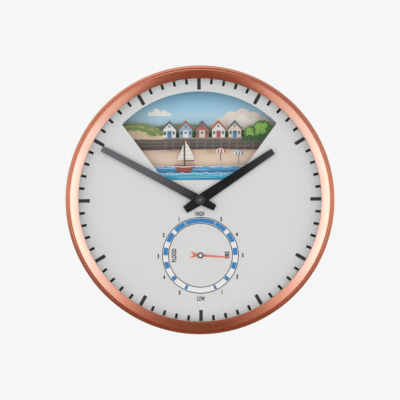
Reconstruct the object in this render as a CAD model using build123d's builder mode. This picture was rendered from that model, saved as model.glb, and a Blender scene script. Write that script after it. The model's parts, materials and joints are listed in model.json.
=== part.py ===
from build123d import *
import math
import os

os.makedirs("parts", exist_ok=True)

# A wall tide clock. Millimetres, +Z up, the dial faces -Y. The origin is the centre of
# the back rim, on the wall, and a depth is a distance out from the wall, along -Y.

# Bezel and drum
case_radius = 195.0  # outside of the bezel's skirt
case_depth = 93.0  # wall to the bezel's crown
sheet = 1.2  # spun metal
skirt_fit = 0.3  # bezel skirt over the drum
skirt_overlap = 22.0  # skirt behind the dial
bezel_face = 19.2  # opening to the outside, seen from the front
crown_inset = 7.8  # outside to the crown's ridge
cone_drop = 7.0  # crown down to the opening's edge
bead_half = 1.4  # half the crown bead's width
bead_rise = 0.6
step_drop = 1.0  # fine step outside the bead
step_width = 1.2
shoulder_drop = 14.0  # crown down to the straight skirt
shoulder_flats = 4
hem = 1.4  # turned edge that presses on the gasket
shelf_width = 15.5  # front flange that carries the dial
rear_chamfer = 6.0
rear_rim = 11.0  # flat rim on the wall
panel_recess = 3.0  # wall to the back panel
panel_thick = 3.0
panel_ledge = 14.5  # inner flange that the back panel is screwed to
panel_fit = 0.3
grub_radius = 2.0
grub_length = 4.0
grub_fit = 0.05
grub_count = 4

# Glass and dial
glass_thick = 3.0
glass_overlap = 7.1  # glass past the opening
gasket_thick = 0.6
gasket_show = 0.5  # gasket inside the opening
carrier_wall = 1.5
carrier_inset = 2.4  # carrier behind the opening's edge
carrier_rim = 2.6  # rim round the glass
glass_fit = 0.3
hand_space = 11.0  # dial to glass
dial_thick = 1.5
dial_inset = 3.5  # dial inside the drum's radius

# Picture window and fixed cards
window_inset = 17.4  # window's arc inside the bezel's opening
window_half_angle = 45.6
window_bottom = 28.5
window_bottom_half = 52.4
window_corner = 0.6
card_thick = 2.0
card_gap = 4.0
card_clear = 3.0  # cards above the movement
sky_gap = 6.0
card_top_gap = 7.0  # cards short of the drum's shelf
card_side = 10.5  # card past the window's side
beach_tab = 2.0  # beach card's tabs clear of the window's side
rail_inner = 7.0  # rail past the window's side
rail_width = 9.0
rail_length = 40.0
rail_over = 1.0  # rails above the window's corners
groove_fit = 0.1
beach_low = 68.0  # beach line at its ends
beach_high = 74.0
walk_top = 91.0  # boardwalk
hut_count = 5
hut_pitch = 24.0
hut_width = 19.0
hut_wall = 15.0
hut_roof = 10.0
hut_first = -44.0
dune_centre = -96.0
dune_half = 46.0
dune_height = 22.0
tree_radius = 11.0
tree_tall_radius = 13.2  # middle tree
tree_spread = 15.0
tree_centre = 92.0
hill_top = 112.0
hill_half = 120.0
hill_centre = -28.0
headland_top = 104.0
headland_half = 90.0
headland_centre = 84.0

# Sea panels and their lift
sea_thick = 2.0
sea_gap = 2.0  # dial to front panel, rear panel to plate
boat_space = 5.5  # between the panels
front_sea_rise = 12.0  # panel tops above the window's bottom edge
rear_sea_rise = 22.0
sea_overlap = 8.0  # panels past the window's side
crest_count = 9
crest_height = 1.6
lift_swing = 80.0  # shaft's turn to each side, degrees
lift_z = -20.0
rack_module = 1.0
front_teeth = 12
rear_teeth = 20
rack_margin = 12.0  # rack past its travel
leg_width = 17.0
leg_gap = 0.8  # leg inside the guide's groove bottom
guide_bite = 3.5
guide_width = 9.0
guide_clear = 1.0  # guide short of the dial
strip_clear = 2.0  # panel strip above the bush at its lowest
boat_thick = 1.5
boat_standoff = 1.8
boat_x = -22.0
boat_half = 15.0
boat_hull = 13.0
mast_height = 36.0
mast_width = 2.4
sail_width = 15.0
sail_belly = 9.0  # sail's edge at half its height
jib_width = 11.25
sail_foot = 6.0  # sail above the deck

# Mechanism plate
plate_thick = 2.0
plate_edge = 6.0
plate_corner = 10.0
plate_low = -126.0
plate_drop = 5.0  # plate's top edge below the window
post_radius = 4.0
post_gap = 2.0  # posts beside the sea guides
post_high = -20.0
post_low = -116.0
post_low_x = 60.0
screw_radius = 1.5
shank_sides = 8
head_sides = 6
screw_head = 2.8
screw_head_high = 1.8
thread_fit = 0.05
post_bite = 10.0

# Time movement
movement_half = 28.0
movement_depth = 16.0
movement_wall = 1.5
movement_corner = 4.0
cover_depth = 8.0
bush_radius = 5.0
bush_proud = 1.5  # bush past the dial
nut_flats = 14.0
nut_thick = 1.6
tube_radius = 2.9
arbor_radius = 1.7
run_fit = 0.05
hole_fit = 0.5
motion_centre = 12.0
cannon_teeth = 7
motion_teeth = 21
motion_pinion_teeth = 7
hour_teeth = 28
set_teeth = 9
teeth_to_set = 14  # motion wheel's teeth round to the set pinion
wheel_thick = 1.6
wheel_rise = 2.5  # wheels above the cover's floor
layer_gap = 1.8
pivot_radius = 1.0
pivot_foot = 4.0
wheel_gap = 0.75  # bearing block short of the cannon pinion
stem_radius = 1.5
knob_radius = 9.0
knob_thick = 2.2
knob_sides = 16

# Gear teeth
pressure = math.radians(20)
addendum = 0.75  # in modules
dedendum = 1.0
tooth_share = 0.42  # tooth's share of the pitch

# Hands
hand_thick = 1.0
hour_lift = 4.6  # under side above the dial
hand_gap = 1.4
hour_angle = 56.8  # clockwise from twelve
hour_short = 32.8  # hour hand short of the minute hand
hour_tail = 26.0
hour_hub_width = 15.2
hour_tip_width = 9.0
hour_tail_width = 11.0
minute_angle = -61.8
minute_short = 15.3  # minute hand short of the bezel's opening
minute_tail = 24.6
minute_hub_width = 12.6
minute_tip_width = 8.8
minute_tail_width = 9.2
collar_radius = 4.4
cap_radius = 5.4
cap_high = 1.6
cap_chamfer = 0.8

# Tide hand, on a small dial of its own
tide_z = -80.7
tide_angle = 94.4
tide_length = 42.2
tide_width = 2.4
tide_tip_width = 0.9
tide_tail = 14.2
tide_tail_width = 9.2
tide_notch = 4.0
tide_eye_radius = 3.4
tide_lift = 1.4
tide_thick = 0.6
tide_boss_radius = 4.3
tide_boss_high = 1.0
tide_cap_radius = 2.4
tide_cap_high = 0.5
tide_pin_radius = 1.5

# Gearmotors
motor_radius = 14.0
motor_depth = 19.0
motor_offset = 8.0  # shaft off the can's centre
motor_gap = 2.0  # can beside the movement
ear_reach = 17.5
ear_radius = 3.5
ear_thick = 0.8
shaft_radius = 2.5
shaft_bite = 6.0
block_width = 14.6
block_reach = 17.0  # lead block, from the can's centre

# Back panel fittings
panel_screw_count = 6
hanger_drop = 38.0  # hanger's centre below the ledge
hanger_width = 44.0
hanger_tall = 44.0
hanger_thick = 2.0
hanger_corner = 4.0
key_radius = 5.0
key_slot = 2.5
key_rise = 14.0
key_room = 14.0  # panel cut-out behind the keyhole
rivet_radius = 1.6
rivet_head = 3.0
rivet_head_high = 0.8
rivet_inset = 6.0
cell_radius = 7.1
cell_length = 49.0
cell_nub = 2.7
cell_nub_high = 1.0
cell_pitch = 15.0
cell_count = 3
cell_sides = 16
cell_clear = 0.8  # cells inside the cover
contact_space = 3.0
contact_thick = 0.5
contact_width = 10.0
box_wall = 1.8
box_frame = 4.0
box_frame_thick = 2.4
box_drop = 67.0  # box's centre above the ledge
box_gap = 4.0  # box and board beside the tide motor
cover_thick = 1.8
cover_fit = 0.3
hinge_radius = 0.7
hinge_reach = 1.6
cover_notch = 6.0  # finger notch
board_width = 62.0
board_tall = 50.0
board_thick = 1.6
board_post = 8.0
board_post_radius = 3.0
board_cap_radius = 2.4
board_inset = 4.5
button_radius = 3.0
button_flange = 4.5
button_flange_thick = 1.0
button_travel = 1.0
button_proud = 1.2
switch_size = 6.0
switch_high = 3.5
chip_width = 12.0
chip_tall = 22.0
chip_high = 3.0
plug_wide = 14.0
plug_pitch = 21.0
plug_tall = 6.0
plug_high = 8.0

# Depths worked out from the front
opening_radius = case_radius - bezel_face
crown_radius = case_radius - crown_inset
cone_edge = case_depth - cone_drop
hem_end = cone_edge - hem
glass_front = hem_end - gasket_thick
glass_back = glass_front - glass_thick
dial_front = glass_back - hand_space
dial_back = dial_front - dial_thick
front_sea_back = dial_back - sea_gap - sea_thick
rear_sea_front = front_sea_back - boat_space
rear_sea_back = rear_sea_front - sea_thick
plate_front = rear_sea_back - sea_gap
plate_back = plate_front - plate_thick
beach_back = plate_front - card_thick
shore_back = beach_back - card_gap - card_thick
hills_back = shore_back - card_gap - card_thick
sky_back = hills_back - sky_gap - card_thick
card_backs = [beach_back, shore_back, hills_back, sky_back]
movement_back = plate_back - movement_depth
hour_under = dial_front + hour_lift
minute_under = hour_under + hand_thick + hand_gap
tide_under = dial_front + tide_lift

# Radii and places worked out from the sizes above
drum_radius = case_radius - sheet - skirt_fit
shelf_radius = drum_radius - shelf_width
rim_radius = drum_radius - rear_chamfer - rear_rim
ledge_radius = rim_radius - panel_ledge
panel_radius = rim_radius - panel_fit
panel_front = panel_recess + panel_thick
skirt_end = dial_back - skirt_overlap
grub_depth = dial_back - skirt_overlap / 2
glass_radius = opening_radius + glass_overlap
carrier_radius = opening_radius + carrier_inset
dial_radius = drum_radius - dial_inset
window_radius = opening_radius - window_inset
card_top_radius = shelf_radius - card_top_gap
minute_length = opening_radius - minute_short
hour_length = minute_length - hour_short
hanger_z = ledge_radius - hanger_drop
box_z = box_drop - ledge_radius
window_half = window_radius * math.sin(math.radians(window_half_angle))
window_top = window_radius * math.cos(math.radians(window_half_angle))
side_slope = (window_half - window_bottom_half) / (window_top - window_bottom)
side_stretch = math.sqrt(1 + side_slope**2)
rail_high = window_top + rail_over
rail_low = rail_high - rail_length
card_bottom = movement_half + card_clear
front_pitch = rack_module * front_teeth / 2
rear_pitch = rack_module * rear_teeth / 2
front_travel = front_pitch * math.radians(lift_swing)
rear_travel = rear_pitch * math.radians(lift_swing)
front_sea_top = window_bottom + front_sea_rise
rear_sea_top = window_bottom + rear_sea_rise
lift_x = movement_half + motor_gap + motor_radius - motor_offset
leg_outer = lift_x + rear_pitch + rack_module * dedendum + leg_width
guide_inner = leg_outer - guide_bite
guide_outer = guide_inner + guide_width
front_strip = bush_radius + strip_clear + front_travel
rear_strip = bush_radius + strip_clear + rear_travel
guide_top = bush_radius
post_x = guide_outer + post_gap + post_radius
plate_half = post_x + plate_edge
plate_top = window_bottom - plate_drop
cannon_module = 2 * motion_centre / (cannon_teeth + motion_teeth)
hour_module = 2 * motion_centre / (motion_pinion_teeth + hour_teeth)
set_centre = cannon_module * (motion_teeth + set_teeth) / 2
set_direction = (teeth_to_set + 0.5) * 360 / motion_teeth
motion_x = -motion_centre
set_x = motion_x + set_centre * math.cos(math.radians(set_direction))
set_z = set_centre * math.sin(math.radians(set_direction))
wheel_back = movement_back + movement_wall + wheel_rise
wheel_front = wheel_back + wheel_thick
layer_back = wheel_front + layer_gap
layer_front = layer_back + wheel_thick


def facing(depth, height=0, turn=0):
    # a plane that faces the viewer, turned clockwise
    across = (math.cos(math.radians(turn)), 0, -math.sin(math.radians(turn)))
    return Plane((0, -depth, height), x_dir=across, z_dir=(0, -1, 0))


def at(radius, depth):
    return (radius, -depth)


def radial_plane(angle, radius, depth):
    turn = math.radians(angle)
    return Plane(
        origin=(radius * math.sin(turn), -depth, radius * math.cos(turn)),
        z_dir=(math.sin(turn), 0, math.cos(turn)),
    )


def side_at(height, clear):
    # the window's straight side at a height, moved outwards by a clear distance
    return window_bottom_half + (height - window_bottom) * side_slope + clear * side_stretch


def window_face():
    with BuildSketch() as outline:
        with BuildLine():
            Polyline(
                (-window_half, window_top),
                (-window_bottom_half, window_bottom),
                (window_bottom_half, window_bottom),
                (window_half, window_top),
            )
            ThreePointArc((window_half, window_top), (0, window_radius), (-window_half, window_top))
        make_face()
        fillet(outline.vertices(), window_corner)
    return outline.sketch


def card_face():
    # the space that a card may fill: slanted sides that sit in the rails, round top
    with BuildSketch() as outline:
        with BuildLine():
            Polyline(
                (-side_at(card_bottom, card_side), card_bottom),
                (side_at(card_bottom, card_side), card_bottom),
                (side_at(case_radius, card_side), case_radius),
                (-side_at(case_radius, card_side), case_radius),
                close=True,
            )
        make_face()
        Circle(card_top_radius, mode=Mode.INTERSECT)
    return outline.sketch


def rail_face(inner, outer):
    with BuildSketch() as outline:
        with BuildLine():
            Polyline(
                (side_at(rail_low, inner), rail_low),
                (side_at(rail_low, outer), rail_low),
                (side_at(rail_high, outer), rail_high),
                (side_at(rail_high, inner), rail_high),
                close=True,
            )
        make_face()
    return outline.sketch


def gear_face(teeth, module, phase):
    # straight-sided teeth, inside their involutes, with one centred on the phase direction
    pitch = module * teeth / 2
    root = pitch - dedendum * module
    tip = pitch + addendum * module
    base = pitch * math.cos(pressure)

    def half_width(radius):
        spread = math.acos(base / radius)
        half = tooth_share * math.pi / teeth
        half += math.tan(pressure) - pressure - math.tan(spread) + spread
        return radius * math.sin(half)

    foot_half = half_width(max(base, root))
    with BuildSketch() as tooth:
        with BuildLine():
            Polyline(
                (root - module, -foot_half),
                (root, -foot_half),
                (tip, -half_width(tip)),
                (tip, half_width(tip)),
                (root, foot_half),
                (root - module, foot_half),
                close=True,
            )
        make_face()
    with BuildSketch() as gear:
        RegularPolygon(root, teeth, rotation=phase)
        with PolarLocations(0, teeth, start_angle=phase):
            add(tooth.sketch)
    return gear.sketch


def bolt_face(points, radius, sides):
    # the outline of a small fastener, or of its hole, at each point
    with BuildSketch() as outlines:
        with Locations(*points):
            RegularPolygon(radius, sides)
    return outlines.sketch


def ring_points(radius, count):
    turns = [math.radians(number * 360 / count) for number in range(count)]
    return [(radius * math.sin(turn), radius * math.cos(turn)) for turn in turns]


def rack_face(pitch_x, travel):
    # teeth that point at the lift shaft, with a gap level with it
    pitch = math.pi * rack_module
    count = 2 * math.ceil((travel + rack_margin) / pitch)
    half = tooth_share * pitch / 2
    tip_half = half - addendum * rack_module * math.tan(pressure)
    root_half = half + dedendum * rack_module * math.tan(pressure)
    tip_x = pitch_x - addendum * rack_module
    root_x = pitch_x + dedendum * rack_module
    with BuildSketch() as tooth:
        with BuildLine():
            Polyline(
                (root_x, -root_half),
                (root_x, root_half),
                (tip_x, tip_half),
                (tip_x, -tip_half),
                close=True,
            )
        make_face()
    with BuildSketch() as teeth:
        with Locations((0, lift_z)):
            with GridLocations(0, pitch, 1, count):
                add(tooth.sketch)
    return teeth.sketch


def hand_face(length, tail, hub_width, tip_width, tail_width, bore):
    # a straight bar, widest at the hub, that points up
    with BuildSketch() as outline:
        with BuildLine():
            Polyline(
                (-tail_width / 2, -tail),
                (tail_width / 2, -tail),
                (hub_width / 2, 0),
                (tip_width / 2, length),
                (-tip_width / 2, length),
                (-hub_width / 2, 0),
                close=True,
            )
        make_face()
        Circle(bore, mode=Mode.SUBTRACT)
    return outline.sketch


def sea_face(top, strip, half, rack_x, travel):
    # a strip with a row of crests, on two legs that run in the guides
    leg_inner = rack_x + dedendum * rack_module
    leg_low = lift_z - travel - rack_margin
    crest = 2 * half / crest_count
    with BuildSketch() as outline:
        with BuildLine():
            Polyline((-half, top), (-half, strip), (half, strip), (half, top))
            for number in range(crest_count):
                left = -half + number * crest
                ThreePointArc(
                    (left, top),
                    (left + crest / 2, top - crest_height),
                    (left + crest, top),
                )
        make_face()
        for side in (-1, 1):
            with Locations((side * (leg_inner + leg_outer) / 2, (leg_low + strip) / 2)):
                Rectangle(leg_outer - leg_inner, strip - leg_low)
        add(rack_face(rack_x, travel))
    return outline.sketch


def motor_face_points(centre_x, centre_z, across):
    if across:
        return [(centre_x - ear_reach, centre_z), (centre_x + ear_reach, centre_z)]
    return [(centre_x, centre_z - ear_reach), (centre_x, centre_z + ear_reach)]


def movement_face(inset):
    with BuildSketch() as outline:
        Rectangle(2 * (movement_half - inset), 2 * (movement_half - inset))
        chamfer(outline.vertices(), movement_corner)
    return outline.sketch


def save(piece, name):
    piece.part.label = name
    export_step(piece.part, "parts/" + name + ".step")


# Bezel: inner cone, crown bead, fine step, rounded shoulder and straight skirt
bead_base = case_depth - bead_rise
cone_rise = (bead_base - cone_edge) / (crown_radius - bead_half - opening_radius)
wall_drop = sheet * math.sqrt(1 + cone_rise**2)
shoulder_radius = crown_radius + bead_half + step_width
shoulder_top = bead_base - step_drop
shoulder_end = case_depth - shoulder_drop
shoulder_reach = case_radius - shoulder_radius
shoulder_fall = shoulder_top - shoulder_end
shoulder_arc = (shoulder_reach**2 + shoulder_fall**2) / (2 * shoulder_reach)
inner_share = (shoulder_arc - sheet) / shoulder_arc
inner_shoulder = at(
    case_radius - shoulder_arc + inner_share * (shoulder_arc - shoulder_reach),
    shoulder_end + inner_share * shoulder_fall,
)
shoulder_turn = math.asin(shoulder_fall / shoulder_arc)
shoulder_turns = [shoulder_turn * (1 - number / shoulder_flats) for number in range(shoulder_flats + 1)]
shoulder_points = [
    at(case_radius - shoulder_arc * (1 - math.cos(turn)), shoulder_end + shoulder_arc * math.sin(turn))
    for turn in shoulder_turns
]
panel_points = ring_points((rim_radius + ledge_radius) / 2, panel_screw_count)
grub_angles = [(number + 0.5) * 360 / grub_count for number in range(grub_count)]

with BuildPart() as front_bezel:
    with BuildSketch(Plane.XY):
        with BuildLine():
            Polyline(
                at(opening_radius + sheet, hem_end),
                at(opening_radius, hem_end),
                at(opening_radius, cone_edge),
                at(crown_radius - bead_half, bead_base),
                at(crown_radius, case_depth),
                at(crown_radius + bead_half, bead_base),
                at(crown_radius + bead_half, shoulder_top),
                *shoulder_points,
                at(case_radius, skirt_end),
                at(case_radius - sheet, skirt_end),
                at(case_radius - sheet, shoulder_end),
                inner_shoulder,
                at(crown_radius - bead_half, bead_base - wall_drop),
                at(opening_radius + sheet, cone_edge + cone_rise * sheet - wall_drop),
                at(opening_radius + sheet, hem_end),
            )
        make_face()
    revolve(axis=Axis.Y)
    for angle in grub_angles:
        with BuildSketch(radial_plane(angle, drum_radius, grub_depth)):
            RegularPolygon(grub_radius + grub_fit, shank_sides)
        extrude(amount=grub_length, mode=Mode.SUBTRACT)
save(front_bezel, "front_bezel")

# Drum: front shelf under the dial, wall, flat rim on the wall, sunk ledge for the back panel
with BuildPart() as case_drum:
    with BuildSketch(Plane.XY):
        with BuildLine():
            Polyline(
                at(shelf_radius, dial_back),
                at(drum_radius, dial_back),
                at(drum_radius, rear_chamfer),
                at(drum_radius - rear_chamfer, 0),
                at(rim_radius, 0),
                at(rim_radius, panel_front),
                at(ledge_radius, panel_front),
            )
            offset(amount=sheet, side=Side.LEFT, kind=Kind.INTERSECTION)
        make_face()
    revolve(axis=Axis.Y)
    for angle in grub_angles:
        with BuildSketch(radial_plane(angle, drum_radius - grub_length, grub_depth)):
            RegularPolygon(grub_radius + grub_fit, shank_sides)
        extrude(amount=2 * grub_length, mode=Mode.SUBTRACT)
    with BuildSketch(facing(panel_front)):
        add(bolt_face(panel_points, screw_radius + thread_fit, shank_sides))
    extrude(amount=sheet, mode=Mode.SUBTRACT)
save(case_drum, "case_drum")

with BuildPart() as bezel_grub_screws:
    for angle in grub_angles:
        with BuildSketch(radial_plane(angle, case_radius - grub_length, grub_depth)):
            RegularPolygon(grub_radius, shank_sides)
        extrude(amount=grub_length)
save(bezel_grub_screws, "bezel_grub_screws")

with BuildPart() as glass_gasket:
    with BuildSketch(facing(glass_front)):
        Circle(glass_radius)
        Circle(opening_radius - gasket_show, mode=Mode.SUBTRACT)
    extrude(amount=gasket_thick)
save(glass_gasket, "glass_gasket")

with BuildPart() as front_glass:
    with BuildSketch(facing(glass_back)):
        Circle(glass_radius)
    extrude(amount=glass_thick)
save(front_glass, "front_glass")

# Carrier: moulded ring that stands on the dial, with a rebate for the glass
with BuildPart() as glass_carrier:
    with BuildSketch(Plane.XY):
        with BuildLine():
            Polyline(
                at(carrier_radius, dial_front),
                at(carrier_radius, glass_back),
                at(glass_radius + glass_fit, glass_back),
                at(glass_radius + glass_fit, glass_back + carrier_rim),
                at(glass_radius + glass_fit + carrier_wall, glass_back + carrier_rim),
                at(glass_radius + glass_fit + carrier_wall, dial_front),
                close=True,
            )
        make_face()
    revolve(axis=Axis.Y)
save(glass_carrier, "glass_carrier")

with BuildPart() as dial_plate:
    with BuildSketch(facing(dial_back)):
        Circle(dial_radius)
        add(window_face(), mode=Mode.SUBTRACT)
        Circle(bush_radius + hole_fit, mode=Mode.SUBTRACT)
        with Locations((0, tide_z)):
            Circle(shaft_radius + hole_fit, mode=Mode.SUBTRACT)
    extrude(amount=dial_thick)
save(dial_plate, "dial_plate")

# Picture rails: grooved blocks on the dial's back that the cards drop into
with BuildPart() as picture_rail_right:
    with BuildSketch(facing(sky_back - card_gap)):
        add(rail_face(rail_inner, rail_inner + rail_width))
    extrude(amount=dial_back - sky_back + card_gap)
    for back in card_backs:
        with BuildSketch(facing(back - groove_fit)):
            add(rail_face(rail_inner - rail_width, card_side + groove_fit))
        extrude(amount=card_thick + 2 * groove_fit, mode=Mode.SUBTRACT)
save(picture_rail_right, "picture_rail_right")

with BuildPart() as picture_rail_left:
    add(mirror(picture_rail_right.part, about=Plane.YZ))
save(picture_rail_left, "picture_rail_left")

# Fixed cards, from the back forwards
with BuildPart() as sky_backdrop:
    with BuildSketch(facing(sky_back)):
        add(card_face())
    extrude(amount=card_thick)
save(sky_backdrop, "sky_backdrop")

with BuildPart() as hills_card:
    with BuildSketch(facing(hills_back)):
        with Locations((hill_centre, card_bottom)):
            Ellipse(hill_half, hill_top - card_bottom)
        with Locations((headland_centre, card_bottom)):
            Ellipse(headland_half, headland_top - card_bottom)
        add(card_face(), mode=Mode.INTERSECT)
    extrude(amount=card_thick)
save(hills_card, "hills_card")

with BuildPart() as shore_card:
    with BuildSketch(facing(shore_back)):
        with Locations((0, (card_bottom + walk_top) / 2)):
            Rectangle(2 * case_radius, walk_top - card_bottom)
        with Locations((dune_centre, walk_top)):
            Ellipse(dune_half, dune_height)
        for number in range(hut_count):
            middle = hut_first + number * hut_pitch
            with BuildLine():
                Polyline(
                    (middle - hut_width / 2, walk_top - hut_wall),
                    (middle + hut_width / 2, walk_top - hut_wall),
                    (middle + hut_width / 2, walk_top + hut_wall),
                    (middle, walk_top + hut_wall + hut_roof),
                    (middle - hut_width / 2, walk_top + hut_wall),
                    close=True,
                )
            make_face()
        with Locations((tree_centre - tree_spread, walk_top + tree_radius / 2)):
            Circle(tree_radius)
        with Locations((tree_centre, walk_top + tree_radius)):
            Circle(tree_tall_radius)
        with Locations((tree_centre + tree_spread, walk_top + tree_radius / 2)):
            Circle(tree_radius)
        add(card_face(), mode=Mode.INTERSECT)
    extrude(amount=card_thick)
save(shore_card, "shore_card")

with BuildPart() as beach_card:
    with BuildSketch(facing(beach_back)):
        with BuildLine():
            Polyline(
                (-case_radius, beach_low),
                (-case_radius, card_bottom),
                (case_radius, card_bottom),
                (case_radius, beach_low),
            )
            ThreePointArc((case_radius, beach_low), (0, beach_high), (-case_radius, beach_low))
        make_face()
        add(card_face(), mode=Mode.INTERSECT)
        for side in (-1, 1):
            with BuildLine():
                Polyline(
                    (side * side_at(card_bottom, beach_tab), card_bottom),
                    (side * side_at(card_bottom, card_side), card_bottom),
                    (side * side_at(rail_high, card_side), rail_high),
                    (side * side_at(rail_high, beach_tab), rail_high),
                    close=True,
                )
            make_face()
    extrude(amount=card_thick)
save(beach_card, "beach_card")

# Sea panels: racks on their right legs, both driven by the lift shaft
front_half = side_at(front_sea_top + front_travel, sea_overlap)
rear_half = side_at(rear_sea_top + rear_travel, sea_overlap)

with BuildPart() as front_sea_panel:
    with BuildSketch(facing(front_sea_back)):
        add(sea_face(front_sea_top, front_strip, front_half, lift_x + front_pitch, front_travel))
    extrude(amount=sea_thick)
save(front_sea_panel, "front_sea_panel")

with BuildPart() as rear_sea_panel:
    with BuildSketch(facing(rear_sea_back)):
        add(sea_face(rear_sea_top, rear_strip, rear_half, lift_x + rear_pitch, rear_travel))
    extrude(amount=sea_thick)
save(rear_sea_panel, "rear_sea_panel")

# Boat: hull, mast and two sails cut from one card, on a block on the rear panel
deck = rear_sea_top + crest_height
hull_low = deck - boat_hull
mast_top = deck + mast_height
sail_low = deck + sail_foot

with BuildPart() as sail_boat:
    with BuildSketch(facing(rear_sea_front + boat_standoff)):
        with BuildLine():
            Line((boat_x - boat_half, deck), (boat_x + boat_half, deck))
            ThreePointArc(
                (boat_x + boat_half, deck),
                (boat_x, hull_low),
                (boat_x - boat_half, deck),
            )
        make_face()
        with Locations((boat_x, (hull_low + mast_top) / 2 + boat_hull / 4)):
            Rectangle(mast_width, mast_top - hull_low - boat_hull / 2)
        with BuildLine():
            Line((boat_x, mast_top), (boat_x, sail_low))
            Line((boat_x, sail_low), (boat_x + sail_width, sail_low))
            ThreePointArc(
                (boat_x + sail_width, sail_low),
                (boat_x + sail_belly, (sail_low + mast_top) / 2),
                (boat_x, mast_top),
            )
        make_face()
        with BuildLine():
            Polyline(
                (boat_x, mast_top - sail_foot),
                (boat_x - jib_width, sail_low),
                (boat_x, sail_low),
                close=True,
            )
        make_face()
    extrude(amount=boat_thick)
save(sail_boat, "sail_boat")

with BuildPart() as boat_block:
    with BuildSketch(facing(rear_sea_front)):
        with Locations((boat_x, deck - boat_hull / 2)):
            Rectangle(boat_half, boat_hull / 3)
    extrude(amount=boat_standoff)
save(boat_block, "boat_block")

# Sea guides: grooved uprights on the mechanism plate
guide_low = lift_z - 2 * rear_travel - rack_margin
guide_middle = (guide_low + guide_top) / 2
groove_outer = leg_outer + leg_gap

with BuildPart() as sea_guide_right:
    with BuildSketch(facing(plate_front)):
        with Locations(((guide_inner + guide_outer) / 2, guide_middle)):
            Rectangle(guide_width, guide_top - guide_low)
    extrude(amount=dial_back - guide_clear - plate_front)
    for back in (front_sea_back, rear_sea_back):
        with BuildSketch(facing(back - groove_fit)):
            with Locations(((guide_inner + groove_outer) / 2, guide_middle)):
                Rectangle(groove_outer - guide_inner, guide_top - guide_low)
        extrude(amount=sea_thick + 2 * groove_fit, mode=Mode.SUBTRACT)
save(sea_guide_right, "sea_guide_right")

with BuildPart() as sea_guide_left:
    add(mirror(sea_guide_right.part, about=Plane.YZ))
save(sea_guide_left, "sea_guide_left")

# Mechanism plate, hung from the dial on four posts
post_points = [(-post_x, post_high), (post_x, post_high), (-post_low_x, post_low), (post_low_x, post_low)]
lift_can_x = lift_x + motor_offset
tide_can_z = tide_z - motor_offset
lift_ears = motor_face_points(lift_can_x, lift_z, False)
tide_ears = motor_face_points(0, tide_can_z, True)

with BuildPart() as mechanism_plate:
    with BuildSketch(facing(plate_back)):
        with Locations((0, (plate_top + plate_low) / 2)):
            RectangleRounded(2 * plate_half, plate_top - plate_low, plate_corner)
        Circle(bush_radius + hole_fit, mode=Mode.SUBTRACT)
        with Locations((lift_x, lift_z), (0, tide_z)):
            Circle(shaft_radius + hole_fit, mode=Mode.SUBTRACT)
        add(
            bolt_face(post_points + lift_ears + tide_ears, screw_radius + thread_fit, shank_sides),
            mode=Mode.SUBTRACT,
        )
    extrude(amount=plate_thick)
save(mechanism_plate, "mechanism_plate")

with BuildPart() as plate_posts:
    with BuildSketch(facing(plate_front)):
        add(bolt_face(post_points, post_radius, head_sides))
    extrude(amount=dial_back - plate_front)
    with BuildSketch(facing(plate_front)):
        add(bolt_face(post_points, screw_radius + thread_fit, shank_sides))
    extrude(amount=post_bite, mode=Mode.SUBTRACT)
save(plate_posts, "plate_posts")

with BuildPart() as plate_screws:
    with BuildSketch(facing(plate_back - screw_head_high)):
        add(bolt_face(post_points, screw_head, head_sides))
    extrude(amount=screw_head_high)
    with BuildSketch(facing(plate_back)):
        add(bolt_face(post_points, screw_radius, shank_sides))
    extrude(amount=plate_thick + post_bite - thread_fit)
save(plate_screws, "plate_screws")

# Time movement: two half cases, with the motion work inside and a bush through the dial
with BuildPart() as movement_case:
    with BuildSketch(facing(movement_back + cover_depth)):
        add(movement_face(0))
    extrude(amount=movement_depth - cover_depth)
    with BuildSketch(facing(movement_back + cover_depth)):
        add(movement_face(movement_wall))
    extrude(amount=movement_depth - cover_depth - movement_wall, mode=Mode.SUBTRACT)
    with BuildSketch(facing(plate_back)):
        Circle(bush_radius)
    extrude(amount=dial_front + bush_proud - plate_back)
    with BuildSketch(facing(plate_back - movement_wall)):
        Circle(tube_radius + run_fit)
    extrude(amount=dial_front + bush_proud - plate_back + movement_wall, mode=Mode.SUBTRACT)
save(movement_case, "movement_case")

with BuildPart() as movement_cover:
    with BuildSketch(facing(movement_back)):
        add(movement_face(0))
    extrude(amount=cover_depth)
    with BuildSketch(facing(movement_back + movement_wall)):
        add(movement_face(movement_wall))
    extrude(amount=cover_depth - movement_wall, mode=Mode.SUBTRACT)
    with BuildSketch(facing(movement_back + movement_wall)):
        Rectangle(2 * (arbor_radius + movement_wall), 2 * (arbor_radius + movement_wall))
        Circle(arbor_radius + run_fit, mode=Mode.SUBTRACT)
    extrude(amount=wheel_rise - wheel_gap)
    with BuildSketch(facing(movement_back)):
        with Locations((motion_x, 0)):
            Circle(pivot_radius)
    extrude(amount=layer_front - movement_back)
    with BuildSketch(facing(movement_back + movement_wall)):
        with Locations((motion_x, 0)):
            Rectangle(pivot_foot, pivot_foot)
    extrude(amount=wheel_rise - run_fit)
    with BuildSketch(facing(movement_back)):
        with Locations((set_x, set_z)):
            Circle(stem_radius + run_fit)
    extrude(amount=cover_depth, mode=Mode.SUBTRACT)
save(movement_cover, "movement_cover")

with BuildPart() as bush_nut:
    with BuildSketch(facing(plate_front)):
        RegularPolygon(nut_flats / 2, 6, major_radius=False)
        Circle(bush_radius + thread_fit, mode=Mode.SUBTRACT)
    extrude(amount=nut_thick)
save(bush_nut, "bush_nut")

with BuildPart() as minute_arbor:
    with BuildSketch(facing(movement_back + movement_wall + run_fit)):
        Circle(arbor_radius)
    extrude(amount=minute_under + hand_thick - movement_back - movement_wall - run_fit)
    with BuildSketch(facing(wheel_back)):
        add(gear_face(cannon_teeth, cannon_module, 180))
    extrude(amount=wheel_thick)
save(minute_arbor, "minute_arbor")

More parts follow.
